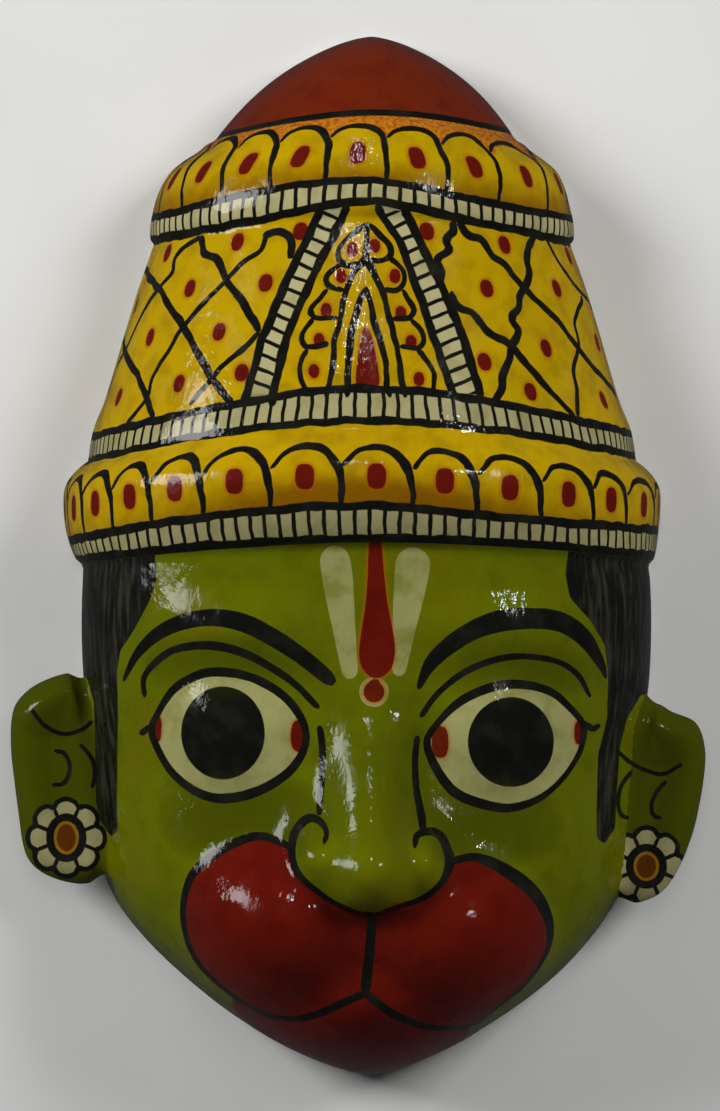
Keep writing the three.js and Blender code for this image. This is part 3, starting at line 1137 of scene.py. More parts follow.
@dataclass(frozen=True)
class Net:
    """The net of wavy lines with dabs between them, on both flanks of the crown."""

    heavy: tuple[Path, ...] = (
        ((-90, 106), (-64, 98), (-54, 90), (-48, 84), (-39, 71), (-35, 64), (-29, 56)),
        ((-51, 117), (-47, 111), (-42, 109), (-37, 101), (-30, 92), (-25, 82)),
        ((-90, 80), (-79, 76), (-62, 66), (-56, 59), (-50, 50)),
        (
            (28, 123), (30, 118), (34, 116), (37, 110), (41, 106), (44, 100), (49, 93), (55, 86), (62, 76),
            (70, 67), (85, 58),
        ),
        ((23, 97), (24, 91), (28, 89), (31, 82), (36, 78), (41, 69), (46, 60), (52, 51)),
        (
            (57, 118.5), (54, 116), (51, 112), (49, 108), (49, 104), (46, 99), (43, 95), (42, 91), (39, 87),
            (40, 82), (37, 77), (36, 72), (33, 66), (32, 61), (30, 56),
        ),
        ((26, 123), (26, 119), (23, 116), (24, 112), (20, 108.5), (21, 104), (19, 99)),
        ((-28, 117), (-24, 118.5), (-20.5, 117.5), (-19, 114), (-19, 109)),
    )
    light: tuple[Path, ...] = (
        (
            (-27, 117), (-28, 112), (-33, 107.5), (-37, 101), (-43, 92), (-48, 84), (-51, 76), (-55, 65),
            (-55, 58), (-60, 48),
        ),
        (
            (-51, 117), (-57, 113), (-60, 108), (-59, 104), (-64, 98), (-70, 90), (-73, 83), (-77, 75),
            (-85, 66), (-90, 55),
        ),
        ((-25, 82), (-28, 76), (-32, 71), (-36, 64), (-40, 55)),
        ((62, 116), (65, 108), (73, 98), (90, 90)),
        ((75, 95), (64, 86), (63, 78), (57, 68), (56, 60), (53, 51)),
    )
    heavy_width: float = 3.0
    light_width: float = 2.3
    dabs: Path = (
        (-66, 111), (-36, 115), (-17, 119), (-49, 98), (-25, 100), (-82, 92), (-61, 80), (-36, 82),
        (-70, 58), (-45, 63), (-28, 67), (18, 119), (42, 114), (76, 110), (33, 98), (59, 98), (29, 71),
        (40, 60), (48, 76), (77, 78), (68, 57),
    )
    dab: Spot = Spot(0, 0, 2.7, 3.3, Chart.CROWN, 2.3)

    def paint(self, painting: Painting) -> None:
        """Paints the net.

        Args:
            painting: The painting it goes on.
        """
        for lines, width in ((self.heavy, self.heavy_width), (self.light, self.light_width)):
            for line in lines:
                painting.line(Stroke.even(line, width, Chart.CROWN))
        for turn, y in self.dabs:
            painting.fill(Fill.SPOT, self.dab.moved(turn, y))


@dataclass(frozen=True)
class Spire:
    """The spire on the crown's front: two slanting ladders about nested arches, scallops and a flame."""

    rails: tuple[Path, ...] = (
        ((-13.5, 127.5), (-33.3, 84.9), (-42.3, 55)),
        ((-3.7, 128.5), (-24.8, 84.2), (-32.2, 55)),
        ((6.2, 128.5), (15.3, 114.7), (26.3, 84.2), (35.5, 57)),
        ((16.6, 127.5), (35.8, 86.7), (45.2, 57.5)),
    )
    rail_width: float = 3.2
    cells: tuple[Path, ...] = (
        ((-13.5, 127.5), (-33.3, 84.9), (-42, 55.5), (-32, 55.5), (-24.8, 84.2), (-3.7, 128.5)),
        ((6.2, 128.5), (15.3, 114.7), (26.3, 84.2), (35.2, 57.5), (45, 58), (35.8, 86.7), (16.6, 127.5)),
    )
    rung_gap: float = 5.6
    rung_slant: float = 0.42
    arches: tuple[Line, ...] = (
        ((-11.8, 58, 2.4), (-6.8, 88.2, 2.2), (-2.9, 101.8, 2.4), (2.8, 109.5, 3.2)),
        ((2.8, 109.5, 3.2), (8.5, 97, 2.4), (13.4, 78.6, 2.2), (17.5, 58, 2.4)),
        ((-4.2, 58, 2.8), (-3.2, 78.6, 2.8), (-0.2, 90.5, 3), (2.6, 98.5, 1.8)),
        ((2.9, 98.5, 1.8), (5.3, 86.7, 2.8), (9, 75.3, 2.4), (11.6, 58, 2.4)),
        ((2.8, 121.3, 2.2), (2.8, 114, 2.4), (2.8, 107.7, 3.2)),
        (
            (2.8, 121.8, 1.8), (-2.9, 117.6, 2), (-6.8, 113.2, 2), (-7.4, 108.9, 2.2), (-4.2, 106.4, 2.4),
            (1, 107.2, 2.4),
        ),
        (
            (2.8, 121.8, 1.8), (6.6, 118.9, 2.2), (10.8, 114.2, 2.4), (11.9, 110.3, 2.4), (8.8, 108.2, 2.2),
            (4.2, 108.6, 2.2),
        ),
    )
    scallops: tuple[Path, ...] = (
        ((-5.7, 107.2), (-11, 103.1), (-11.9, 99.8), (-9.9, 98.2), (-5.1, 97.5)),
        ((-11.3, 97.6), (-16.5, 91.4), (-17.5, 88.9), (-15.2, 87.4), (-7.5, 87.6)),
        ((-16.3, 87), (-19.8, 82), (-20.7, 78.9), (-19.2, 76.4), (-11, 77.4)),
        ((-18.9, 75.6), (-21.5, 70.3), (-21.6, 66.2), (-19.6, 60)),
        ((11.2, 109.8), (15.9, 104.9), (17.1, 100.8), (14.6, 97.9), (9.5, 97.8)),
        ((15.9, 97.2), (19.4, 92.6), (20.6, 89.7), (18.6, 87.2), (12.4, 87)),
        ((18.9, 86.6), (23, 82.6), (24.1, 78.5), (21.2, 76), (15.3, 76.8)),
        ((21.8, 75.4), (26.3, 70.3), (27.9, 66.2), (27.2, 60)),
    )
    scallop_width: float = 2.0
    dabs: Path = (
        (-6.4, 102.6), (-11.9, 90), (-14.5, 79), (-16.4, 67.6), (13.4, 102.5), (15.6, 88.9), (19.3, 78.3),
        (22.2, 64.7), (-2.3, 112.3), (6, 113.6),
    )
    dab: Spot = Spot(0, 0, 2.1, 2.7, squareness=2.2)
    flame: Line = ((2.7, 83.6, 1.8), (2.9, 79, 4.6), (3.2, 70, 7.6), (3.5, 60, 9.8))

    def paint(self, painting: Painting) -> None:
        """Paints the spire.

        Args:
            painting: The painting it goes on.
        """
        painting.fill(Fill.SPOT, Stroke(self.flame))
        for cell, slant in zip(self.cells, (self.rung_slant, -self.rung_slant)):
            painting.fill(Fill.CREAM, Area(cell, rounded=False))
            painting.rungs(Area(cell, rounded=False), self.rung_gap, slant)
        for rail in self.rails:
            painting.line(Stroke.even(rail, self.rail_width))
        for arch in self.arches:
            painting.line(Stroke(arch))
        for scallop in self.scallops:
            painting.line(Stroke.even(scallop, self.scallop_width))
        for x, y in self.dabs:
            painting.fill(Fill.SPOT, self.dab.moved(x, y))


@dataclass(frozen=True)
class CrownPaint:
    """The crown: three ladders round it, two rows of petals, a net, a spire, an orange band and a red cap."""

    # The lower two ladders carry painted shade
    lower_ladder: Ladder = Ladder(
        Level((-1.8, 3.5, 6.2, 4.4, -0.4), 3.2), Level((5.1, 14.1, 18.2, 13.4, 9), 3.3), painted_shade=0.8
    )
    middle_ladder: Ladder = Ladder(
        Level((34.5, 45.2, 49.4, 45.6, 36.4)), Level((43.4, 55.1, 61.4, 56, 44.5), 3.2), painted_shade=0.55
    )
    upper_ladder: Ladder = Ladder(
        Level((115.8, 123.1, 130.1, 123.1, 115), 3.3), Level((123.8, 133.4, 138, 131.2, 123.5), 2.9)
    )
    cap_line: Level = Level((154, 159.9, 162.6, 161, 155.8), 2.4)
    lower_petals: Petals = Petals(
        feet=(
            -91.5, -79, -67, -54.7, -43.4, -31.2, -17.5, -3.9, 9.3, 21.8, 35.3, 48.4, 60, 77, 91,
        ),
        base=lower_ladder.above,
        top=Level((27.6, 37.9, 40, 35.6, 26)),
        dab=Spot(0, 0, 3, 4.7, Chart.CROWN, 3),
    )
    upper_petals: Petals = Petals(
        feet=(-92, -75.5, -59, -42, -26.5, -10.5, 6.5, 23.5, 40, 61, 82, 98),
        base=upper_ladder.above,
        top=Level((150.3, 155.8, 157.7, 154.7, 147.7)),
        dab=Spot(0, 0, 2.6, 4, Chart.CROWN, 3),
        spread=0.16,
        foot_shade=1.0,
        middle_shade=0.0,
        outline=(
            (0, 0.8, 1.2), (0.14, 0.93, 1.5), (0.4, 1, 1.7), (0.7, 0.98, 2.2), (0.9, 0.85, 2.4),
            (0.99, 0.5, 2), (1.02, 0, 1.5),
        ),
    )
    below_lower_line: float = 1.5
    overlap: float = 1.0
    past_the_top: float = 400.0
    front_shade: float = 0.36

    def paint(self, painting: Painting) -> None:
        """Paints the crown.

        Args:
            painting: The painting it goes on.
        """
        turn, y = painting.surface.turned.T
        bottom = self.lower_ladder.below.at(turn) - self.below_lower_line
        petal_top, cap = self.upper_petals.roof(turn), self.cap_line.at(turn)
        painting.band(Fill.YELLOW, bottom, petal_top + self.overlap)
        painting.band(Fill.ORANGE, petal_top, cap + self.overlap)
        painting.band(Fill.CAP, cap, np.full_like(y, self.past_the_top))
        self.lower_petals.paint(painting)
        self.upper_petals.paint(painting)
        # Painted shade across the crown's front, below the upper ladder
        below = y < self.upper_ladder.below.at(turn)
        painting.shade += self.front_shade * crown_front(turn) * below
        for subject in (Net(), Spire(), self.lower_ladder, self.middle_ladder, self.upper_ladder):
            subject.paint(painting)
        painting.line(self.cap_line.stroke())


@dataclass(frozen=True)
class HollowShade:
    """Painted shade, which darkens the paint in the hollows of the face."""

    clear_of_red: float = 2.0
    hollows: tuple[Form, ...] = (
        Form(-41, -97, 34, 19, 0.9, 0.6),
        Form(46, -98, 31, 18, 0.9, 0.6),
        Form(-47, -41, 36, 13, 0.6, 0.8),
        Form(58, -43, 35, 12, 0.65, 0.8),
        Form(12, -78, 30, 38, 0.4, 0.8),
    )

    def paint(self, painting: Painting) -> None:
        """Lays the painted shade over what is painted so far.

        Args:
            painting: The painting it goes on.
        """
        surface = painting.surface
        x, y = surface.seen.T
        for hollow in self.hollows:
            # The painted shade of each hollow, kept off the red
            hollow_shade = hollow.rise_at(x, y) * smoothstep(0, self.clear_of_red, -painting.fills[Fill.RED])
            hollow_shade = np.where(surface.outer & surface.head, hollow_shade, 0)
            painting.painted_shade = np.maximum(painting.painted_shade, hollow_shade)


@dataclass
class Shell:
    """A triangle mesh in millimetres."""

    points: Array
    faces: Array

    @classmethod
    def round_rows(cls, rows: Array) -> Shell:
        """A closed mesh from rows of points that each run round its girth.

        Args:
            rows: Points by row and place in the row; the first and last row have closed up.

        Returns:
            The mesh, facing outwards.
        """
        count, girth = rows.shape[:2]
        number = np.arange(count * girth).reshape(count, girth)
        a, d = number[:-1], number[1:]
        b, c = np.roll(a, -1, axis=1), np.roll(d, -1, axis=1)
        faces = np.stack([a, b, d, b, c, d], axis=-1).reshape(-1, 3)
        flat = rows.reshape(-1, 3)
        keys = np.round(flat * WELDS_PER_MM)
        _, first, same = np.unique(keys, axis=0, return_index=True, return_inverse=True)
        points, faces = flat[first], same.reshape(-1)[faces]
        proper = (faces[:, 0] != faces[:, 1]) & (faces[:, 1] != faces[:, 2]) & (faces[:, 2] != faces[:, 0])
        faces = faces[proper]
        corner = points[faces]
        volume = np.einsum("ij,ij->", corner[:, 0], np.cross(corner[:, 1], corner[:, 2]))
        return cls(points, faces if volume > 0 else faces[:, ::-1])

    @classmethod
    def from_object(cls, piece: bpy.types.Object) -> Shell:
        """The mesh of an object, with its modifiers applied.

        Args:
            piece: The object.

        Returns:
            The mesh.
        """
        mesh = piece.evaluated_get(bpy.context.evaluated_depsgraph_get()).to_mesh()
        mesh.calc_loop_triangles()
        points = np.empty(len(mesh.vertices) * 3, dtype=np.float32)
        faces = np.empty(len(mesh.loop_triangles) * 3, dtype=np.int32)
        mesh.vertices.foreach_get("co", points)
        mesh.loop_triangles.foreach_get("vertices", faces)
        return cls(points.reshape(-1, 3).astype(float) / MM, faces.reshape(-1, 3).copy())

    def to_object(self, name: str) -> bpy.types.Object:
        """The mesh as an object of the scene, smooth shaded.

        Args:
            name: The object's name.

        Returns:
            The object.
        """
        mesh = bpy.data.meshes.new(name)
        mesh.from_pydata((self.points * MM).tolist(), [], self.faces.tolist())
        mesh.shade_smooth()
        mesh.update()
        piece = bpy.data.objects.new(name, mesh)
        bpy.context.scene.collection.objects.link(piece)
        return piece

    def normals(self) -> Array:
        """The direction out of the surface at each point.

        Returns:
            A direction for each point.
        """
        corner = self.points[self.faces]
        across = np.cross(corner[:, 1] - corner[:, 0], corner[:, 2] - corner[:, 0])
        total = np.zeros_like(self.points)
        for i in range(3):
            np.add.at(total, self.faces[:, i], across)
        return total / np.maximum(np.linalg.norm(total, axis=1, keepdims=True), TINY)

    def relax(self, amount: Array, turns: int) -> None:
        """Smooths the mesh by moving points towards the middle of their neighbours.

        Args:
            amount: How far each point moves each time, from 0 to 1.
            turns: How many times.
        """
        edges = np.concatenate([self.faces[:, [0, 1]], self.faces[:, [1, 2]], self.faces[:, [2, 0]]])
        edges = edges[amount[edges[:, 0]] > 0]
        moving = np.flatnonzero(amount > 0)
        counts = np.bincount(edges[:, 0], minlength=len(self.points))[moving, None]
        for _ in range(turns):
            total = np.zeros_like(self.points)
            np.add.at(total, edges[:, 0], self.points[edges[:, 1]])
            mean = total[moving] / np.maximum(counts, 1)
            self.points[moving] += (mean - self.points[moving]) * amount[moving, None]


class Part(Enum):
    """Which part of the shell a point belongs to."""

    OUTSIDE = 0
    INSIDE = 1
    EAR = 2
    JOIN = 3


@dataclass(frozen=True)
class EarShape:
    """One ear: a plate with a rounded edge, a rolled rim and a dished middle, rooted in the wall."""

    outline: Path
    bulge: Form
    middle_z: float = 25
    sweep: float = -0.16
    root_x: float = 87
    half_thickness: float = 5
    edge_radius: float = 6
    roll_inset: float = 6
    roll_reach: float = 9
    roll_rise: float = 1.2
    roll_power: float = 1.5
    dish: float = 0.6
    rings: int = 24
    spokes: int = 150

    def shell(self) -> Shell:
        """The ear as a closed mesh.

        Returns:
            The mesh.
        """
        path = smooth_path(self.outline, steps=20, closed=True)
        lengths = np.concatenate([[0], np.cumsum(np.linalg.norm(np.diff(path, axis=0), axis=1))])
        places = np.linspace(0, lengths[-1], self.spokes, endpoint=False)
        edge = np.stack([np.interp(places, lengths, column) for column in path.T], axis=1)
        middle = edge.mean(axis=0)
        shares = np.sin(np.linspace(0, 1, self.rings + 1) * math.pi / 2)
        flat = middle + (edge[None] - middle) * shares[:, None, None]
        area = Area(tuple(map(tuple, edge)), rounded=False)
        inset = area.depth(flat.reshape(-1, 2), np.ones(flat.size // 2)).reshape(flat.shape[:2])
        inset = np.maximum(inset, 0)
        inset[-1] = 0
        rounding = np.minimum(inset / self.edge_radius, 1)
        thickness = self.half_thickness * np.sqrt(1 - (1 - rounding) ** 2)
        off_roll = np.abs(inset - self.roll_inset) / self.roll_reach
        rolled = self.roll_rise * swelling(off_roll, self.roll_power)
        dished = self.dish * smoothstep(self.roll_inset, 3 * self.roll_inset, inset)
        level = self.middle_z + self.sweep * (np.abs(flat[..., 0]) - self.root_x)
        proud = rolled - dished + self.bulge.rise_at(flat[..., 0], flat[..., 1])
        front = np.dstack([flat, level + thickness + proud * rounding])
        back = np.dstack([flat, level - thickness])
        return Shell.round_rows(np.concatenate([back[:-1], front[::-1]]))


@dataclass
class MaskBody:
    """The whole moulded shell: head, crown and ears in one."""

    shape: HeadShape = field(default_factory=HeadShape)
    rows: int = 290
    columns: int = 214
    inner_columns: int = 44
    middle_section_y: float = -60.0
    side_share: float = 0.3
    rim_soften: float = 0.8
    rim_lift: float = 0.5
    front_closeness: float = 0.25
    ears: tuple[EarShape, ...] = (
        EarShape(
            (
                (-96.2, -49.5), (-103, -43), (-117, -47), (-125.4, -55), (-127, -68), (-124.5, -92),
                (-121, -110), (-113, -117), (-99, -120), (-89.6, -113.5), (-90.2, -98), (-91.4, -82),
                (-93.2, -65),
            ),
            Form(-112, -54, 17, 13, 3.4, 1.1),
        ),
        EarShape(
            (
                (96.5, -59.5), (104, -51), (114, -57), (123.5, -61.5), (127, -73), (124, -93), (118.5, -111),
                (110, -123.5), (97, -127), (91.2, -119.5), (91.6, -108), (92.6, -93), (94, -75),
            ),
            Form(108, -64, 18, 14, 3.4, 1.1),
        ),
    )
    easing: float = 0.6
    join_core: float = 3.2
    join_reach: float = 8.0
    join_turns: int = 40
    beside_head: float = 80.0
    batches: int = 20
    carved_above: float = 12.0
    carved_below: float = -30.0
    carved_turns: int = 14
    flare: float = 0.4
    flare_starts: float = 6.0
    flare_full: float = 2.5
    upright: float = 0.9
    level_below: float = 0.2
    lumps_full_above: float = 10.0
    lump_start: Triple = (SEED, 0, 3)
    lump_step: Triple = (17, 5, 0)
    lumps: tuple[tuple[float, float], ...] = ((34, 0.5), (13, 0.22), (6, 0.07))
    inner_lumps: tuple[tuple[float, float], ...] = ((26, 0.8), (9, 0.45))

    def heights(self) -> Array:
        """Heights of the rows, evenly spaced along the profile.

        Returns:
            The heights, from chin to crown.
        """
        y = -self.shape.half_length * np.cos(np.linspace(0, math.pi, FINE_STEPS))
        z = self.shape.outside(y[:, None], np.zeros((1, 1)))[:, 0, 2]
        sideways = np.abs(np.diff(self.shape.half_width(y)))
        steps = np.hypot(np.diff(y), np.diff(z)) + self.side_share * sideways
        along = np.concatenate([[0], np.cumsum(steps)])
        return np.interp(np.linspace(0, along[-1], self.rows + 1), along, y)

    def acrosses(self, count: int) -> Array:
        """Places from rim to rim, evenly spaced round a middle section and a little closer in front.

        Args:
            count: How many steps to take.

        Returns:
            Shares from -1 to 1.
        """
        across = np.linspace(-1, 1, COARSE_STEPS)
        section = self.shape.outside(np.array([[self.middle_section_y]]), across[None])[0]
        middles = (across[1:] + across[:-1]) / 2
        closeness = 1 + self.front_closeness * swelling(np.abs(middles), 1)
        steps = np.linalg.norm(np.diff(section, axis=0), axis=1) * closeness
        along = np.concatenate([[0], np.cumsum(steps)])
        places = np.interp(np.linspace(0, along[-1], count + 1), along, across)
        places[0], places[-1] = -1, 1
        return places

    def head(self) -> tuple[Shell, Array]:
        """The head as a hollow shell.

        Returns:
            The mesh, and the points of its inside.
        """
        y = self.heights()[:, None]
        outer = self.shape.outside(y, self.acrosses(self.columns)[None])
        inner = self.shape.inside(y, self.acrosses(self.inner_columns)[None])
        left, right = (outer[:, 0], inner[:, 0]), (outer[:, -1], inner[:, -1])
        rim = []
        for outside, inside in (left, right):
            gap = np.linalg.norm(inside - outside, axis=1, keepdims=True)
            softened = outside + (inside - outside) * self.rim_soften / gap
            rim.append([softened * (1 - t) + inside * t for t in (0.0, 0.5)])
        outer[:, [0, -1], 2] += self.rim_lift
        girth = [outer, *(p[:, None] for p in rim[1]), inner[:, ::-1], *(p[:, None] for p in rim[0][::-1])]
        return Shell.round_rows(np.concatenate(girth, axis=1)), inner.reshape(-1, 3)

    def joined(self) -> tuple[Shell, Array]:
        """Head and ears in one mesh.

        Returns:
            The mesh, and each point's part.
        """
        head, inside = self.head()
        whole = head.to_object("head")
        ears = [ear.shell() for ear in self.ears]
        for ear in ears:
            cutter = ear.to_object("ear")
            union = whole.modifiers.new("union", "BOOLEAN")
            union.operation, union.solver, union.object = "UNION", "MANIFOLD", cutter
        bpy.context.view_layer.update()
        shell = Shell.from_object(whole)
        for piece in [whole, *(m.object for m in whole.modifiers)]:
            bpy.data.objects.remove(piece)
        known = (
            (Part.OUTSIDE, head.points),
            (Part.INSIDE, inside),
            *((Part.EAR, ear.points) for ear in ears),
        )
        return shell, self.parts_of(shell, known)

    def parts_of(self, shell: Shell, known: Iterable[tuple[Part, Array]]) -> Array:
        """The part that each point of a mesh came from; where parts meet it is the join.

        Args:
            shell: The mesh.
            known: Parts, each with its points; a later one takes over from an earlier.

        Returns:
            The value of each point's Part.
        """
        owners = {}
        for part, points in known:
            owners.update((tuple(key), part.value) for key in self.keys(points))
        found = np.full(len(shell.points), Part.JOIN.value)
        nudges = list(product((0, -1, 1), repeat=3))
        for i, (x, y, z) in enumerate(self.keys(shell.points)):
            near = (owners.get((x + a, y + b, z + c)) for a, b, c in nudges)
            found[i] = next((value for value in near if value is not None), Part.JOIN.value)
        return found

    @staticmethod
    def keys(points: Array) -> list[list[int]]:
        """Whole numbers by which close points are told to be the same."""
        return np.round(points * KEYS_PER_MM).astype(int).tolist()

    def build(self) -> tuple[Shell, Array]:
        """The finished mesh, with its joins eased, its rim flared and its surface made uneven.

        Returns:
            The mesh, and each point's part.
        """
        shell, parts = self.joined()
        join = shell.points[parts == Part.JOIN.value]
        amount = np.zeros(len(shell.points))
        beside = (np.abs(shell.points[:, 0]) > self.beside_head) & (parts != Part.INSIDE.value)
        for some in np.array_split(np.flatnonzero(beside), self.batches):
            gaps = np.linalg.norm(shell.points[some, None] - join[None], axis=2).min(axis=1)
            amount[some] = self.easing * (1 - smoothstep(self.join_core, self.join_reach, gaps))
        shell.relax(amount, self.join_turns)
        _, y, z = shell.points.T
        carved = (parts == Part.OUTSIDE.value) & (z > self.carved_above) & (y < self.carved_below)
        shell.relax(np.where(carved, self.easing, 0.0), self.carved_turns)
        self.flare_rim(shell, parts)
        self.make_uneven(shell, parts)
        return shell, parts

    def flare_rim(self, shell: Shell, parts: Array) -> None:
        """Spreads the foot of the wall a little, as pressed paste does.

        Args:
            shell: The mesh, which is changed.
            parts: Each point's part.
        """
        normal = shell.normals()
        z = shell.points[:, 2]
        flat = normal[:, :2] / np.maximum(np.linalg.norm(normal[:, :2], axis=1, keepdims=True), TINY)
        out = np.where(parts == Part.OUTSIDE.value, 1 - smoothstep(self.flare_full, self.flare_starts, z), 0)
        pushed = (normal[:, 2] > -self.upright) * out * self.flare
        shell.points[:, :2] += flat * pushed[:, None]

    def make_uneven(self, shell: Shell, parts: Array) -> None:
        """Adds the lumps of hand-pressed paste, which die out at the rim.

        Args:
            shell: The mesh, which is changed.
            parts: Each point's part.
        """
        normal = shell.normals()
        inside = parts == Part.INSIDE.value
        for lumps, where in ((self.lumps, ~inside), (self.inner_lumps, inside)):
            numbers = np.flatnonzero(where & (shell.points[:, 2] > self.level_below))
            total = np.zeros(len(numbers))
            for i, (size, height) in enumerate(lumps):
                shift = Vector(self.lump_start) + Vector(self.lump_step) * i
                places = (Vector(p) / size + shift for p in shell.points[numbers].tolist())
                total += height * np.fromiter((noise.noise(p) for p in places), float, len(numbers))
            fade = smoothstep(0.0, self.lumps_full_above, shell.points[numbers, 2])
            shell.points[numbers] += normal[numbers] * (total * fade)[:, None]


@dataclass(frozen=True)
class Unrolling:
    """Where each face lies on the flat picture the finish is baked to, as shares of its sides."""

    shape: HeadShape
    scale: float = 1 / 500
    least_radius: float = 5.0
    outer_middle: Pair = (0.33, 0.5)
    inner_middle: Pair = (0.81, 0.26)
    inner_scale: float = 0.5
    ear_x: float = 109.0
    ear_y: float = -85.0
    ear_places: Path = ((0.74, 0.66), (0.9, 0.66), (0.74, 0.86), (0.9, 0.86))

    def pelt(self, points: Array) -> Array:
        """The skin laid flat, in millimetres from its middle.

        Args:
            points: Points of the mesh.

        Returns:
            Two places for each.
        """
        y = -self.shape.half_length * np.cos(np.linspace(0, math.pi, COARSE_STEPS))
        z = self.shape.height(y)
        along = np.concatenate([[0], np.cumsum(np.hypot(np.diff(y), np.diff(z)))])
        flat_y = np.interp(points[:, 1], y, along) - along[-1] / 2
        half, high = self.shape.half_width(points[:, 1]), self.shape.height(points[:, 1])
        side = (points[:, 0] - self.shape.middle(points[:, 1])) / np.maximum(half, self.least_radius)
        up = np.maximum(points[:, 2], 0) / np.maximum(high, self.least_radius)
        return np.stack([np.arctan2(side, up) * (half + high) / 2, flat_y], axis=1)

    def places(self, shell: Shell, parts: Array) -> Array:
        """The place of every corner of every face.

        Args:
            shell: The mesh.
            parts: Each point's part.

        Returns:
            Two shares for each corner, in the faces' order.
        """
        face_parts = parts[shell.faces]
        inside = (face_parts == Part.INSIDE.value).all(axis=1)
        ear = (face_parts == Part.EAR.value).any(axis=1)
        corner = shell.points[shell.faces]
        up = np.cross(corner[:, 1] - corner[:, 0], corner[:, 2] - corner[:, 0])[:, 2] > 0
        flat = self.pelt(corner.reshape(-1, 3)).reshape(-1, 3, 2) * self.scale
        places = flat + np.array(self.outer_middle)
        places[inside] = (flat * self.inner_scale + np.array(self.inner_middle))[inside]
        for i, middle in enumerate(self.ear_places):
            right, front = i % 2 == 1, i < 2
            chosen = ear & ((corner[:, :, 0].mean(axis=1) > 0) == right) & (up == front)
            centre = np.array([self.ear_x if right else -self.ear_x, self.ear_y])
            places[chosen] = ((corner[..., :2] - centre) * self.scale + np.array(middle))[chosen]
        return places.reshape(-1, 2)


# Red, green and blue as a camera shows them, from 0 to 255
Colour = tuple[int, int, int]


def opaque(colour: Colour) -> tuple[float, ...]:
    """A colour made linear, and opaque."""
    shares = (c / 255 for c in colour)
    return (*(c / 12.92 if c <= 0.04045 else ((c + 0.055) / 1.055) ** 2.4 for c in shares), 1.0)


class Wire:
    """A number that changes over the surface: arithmetic on it adds Math nodes."""

    def __init__(self, shader: Shader, socket: bpy.types.NodeSocket) -> None:
        """Wraps a socket of a shader."""
        self.shader = shader
        self.socket = socket

    def math(self, operation: str, *others: Wire | float) -> Wire:
        """The result of a Math node on this and other values, by the node's operation."""
        node = self.shader.node("ShaderNodeMath", {"operation": operation}, dict(enumerate((self, *others))))
        return Wire(self.shader, node.outputs[0])

    def __add__(self, other: Wire | float) -> Wire:
        """This plus another."""
        return self.math("ADD", other)

    __radd__ = __add__

    def __mul__(self, other: Wire | float) -> Wire:
        """This times another."""
        return self.math("MULTIPLY", other)

    __rmul__ = __mul__

    def __sub__(self, other: Wire | float) -> Wire:
        """This less another."""
        return self.math("SUBTRACT", other)

    def __rsub__(self, other: float) -> Wire:
        """A number less this."""
        return self * -1.0 + other

    def size(self) -> Wire:
        """This without its sign."""
        return self.math("ABSOLUTE")

    def fraction(self) -> Wire:
        """What is left of this past a whole number."""
        return self.math("FRACT")

    def most(self, other: Wire | float) -> Wire:
        """The greater of this and another."""
        return self.math("MAXIMUM", other)

    def rising(self, low: float, high: float) -> Wire:
        """0 where this is below low, 1 above high, and smooth between.

        Args:
            low: Where it starts to rise.
            high: Where it has risen.

        Returns:
            The share risen.
        """
        settings = {"interpolation_type": "SMOOTHSTEP"}
        values = {"Value": self, "From Min": low, "From Max": high}
        node = self.shader.node("ShaderNodeMapRange", settings, values)
        return Wire(self.shader, node.outputs["Result"])


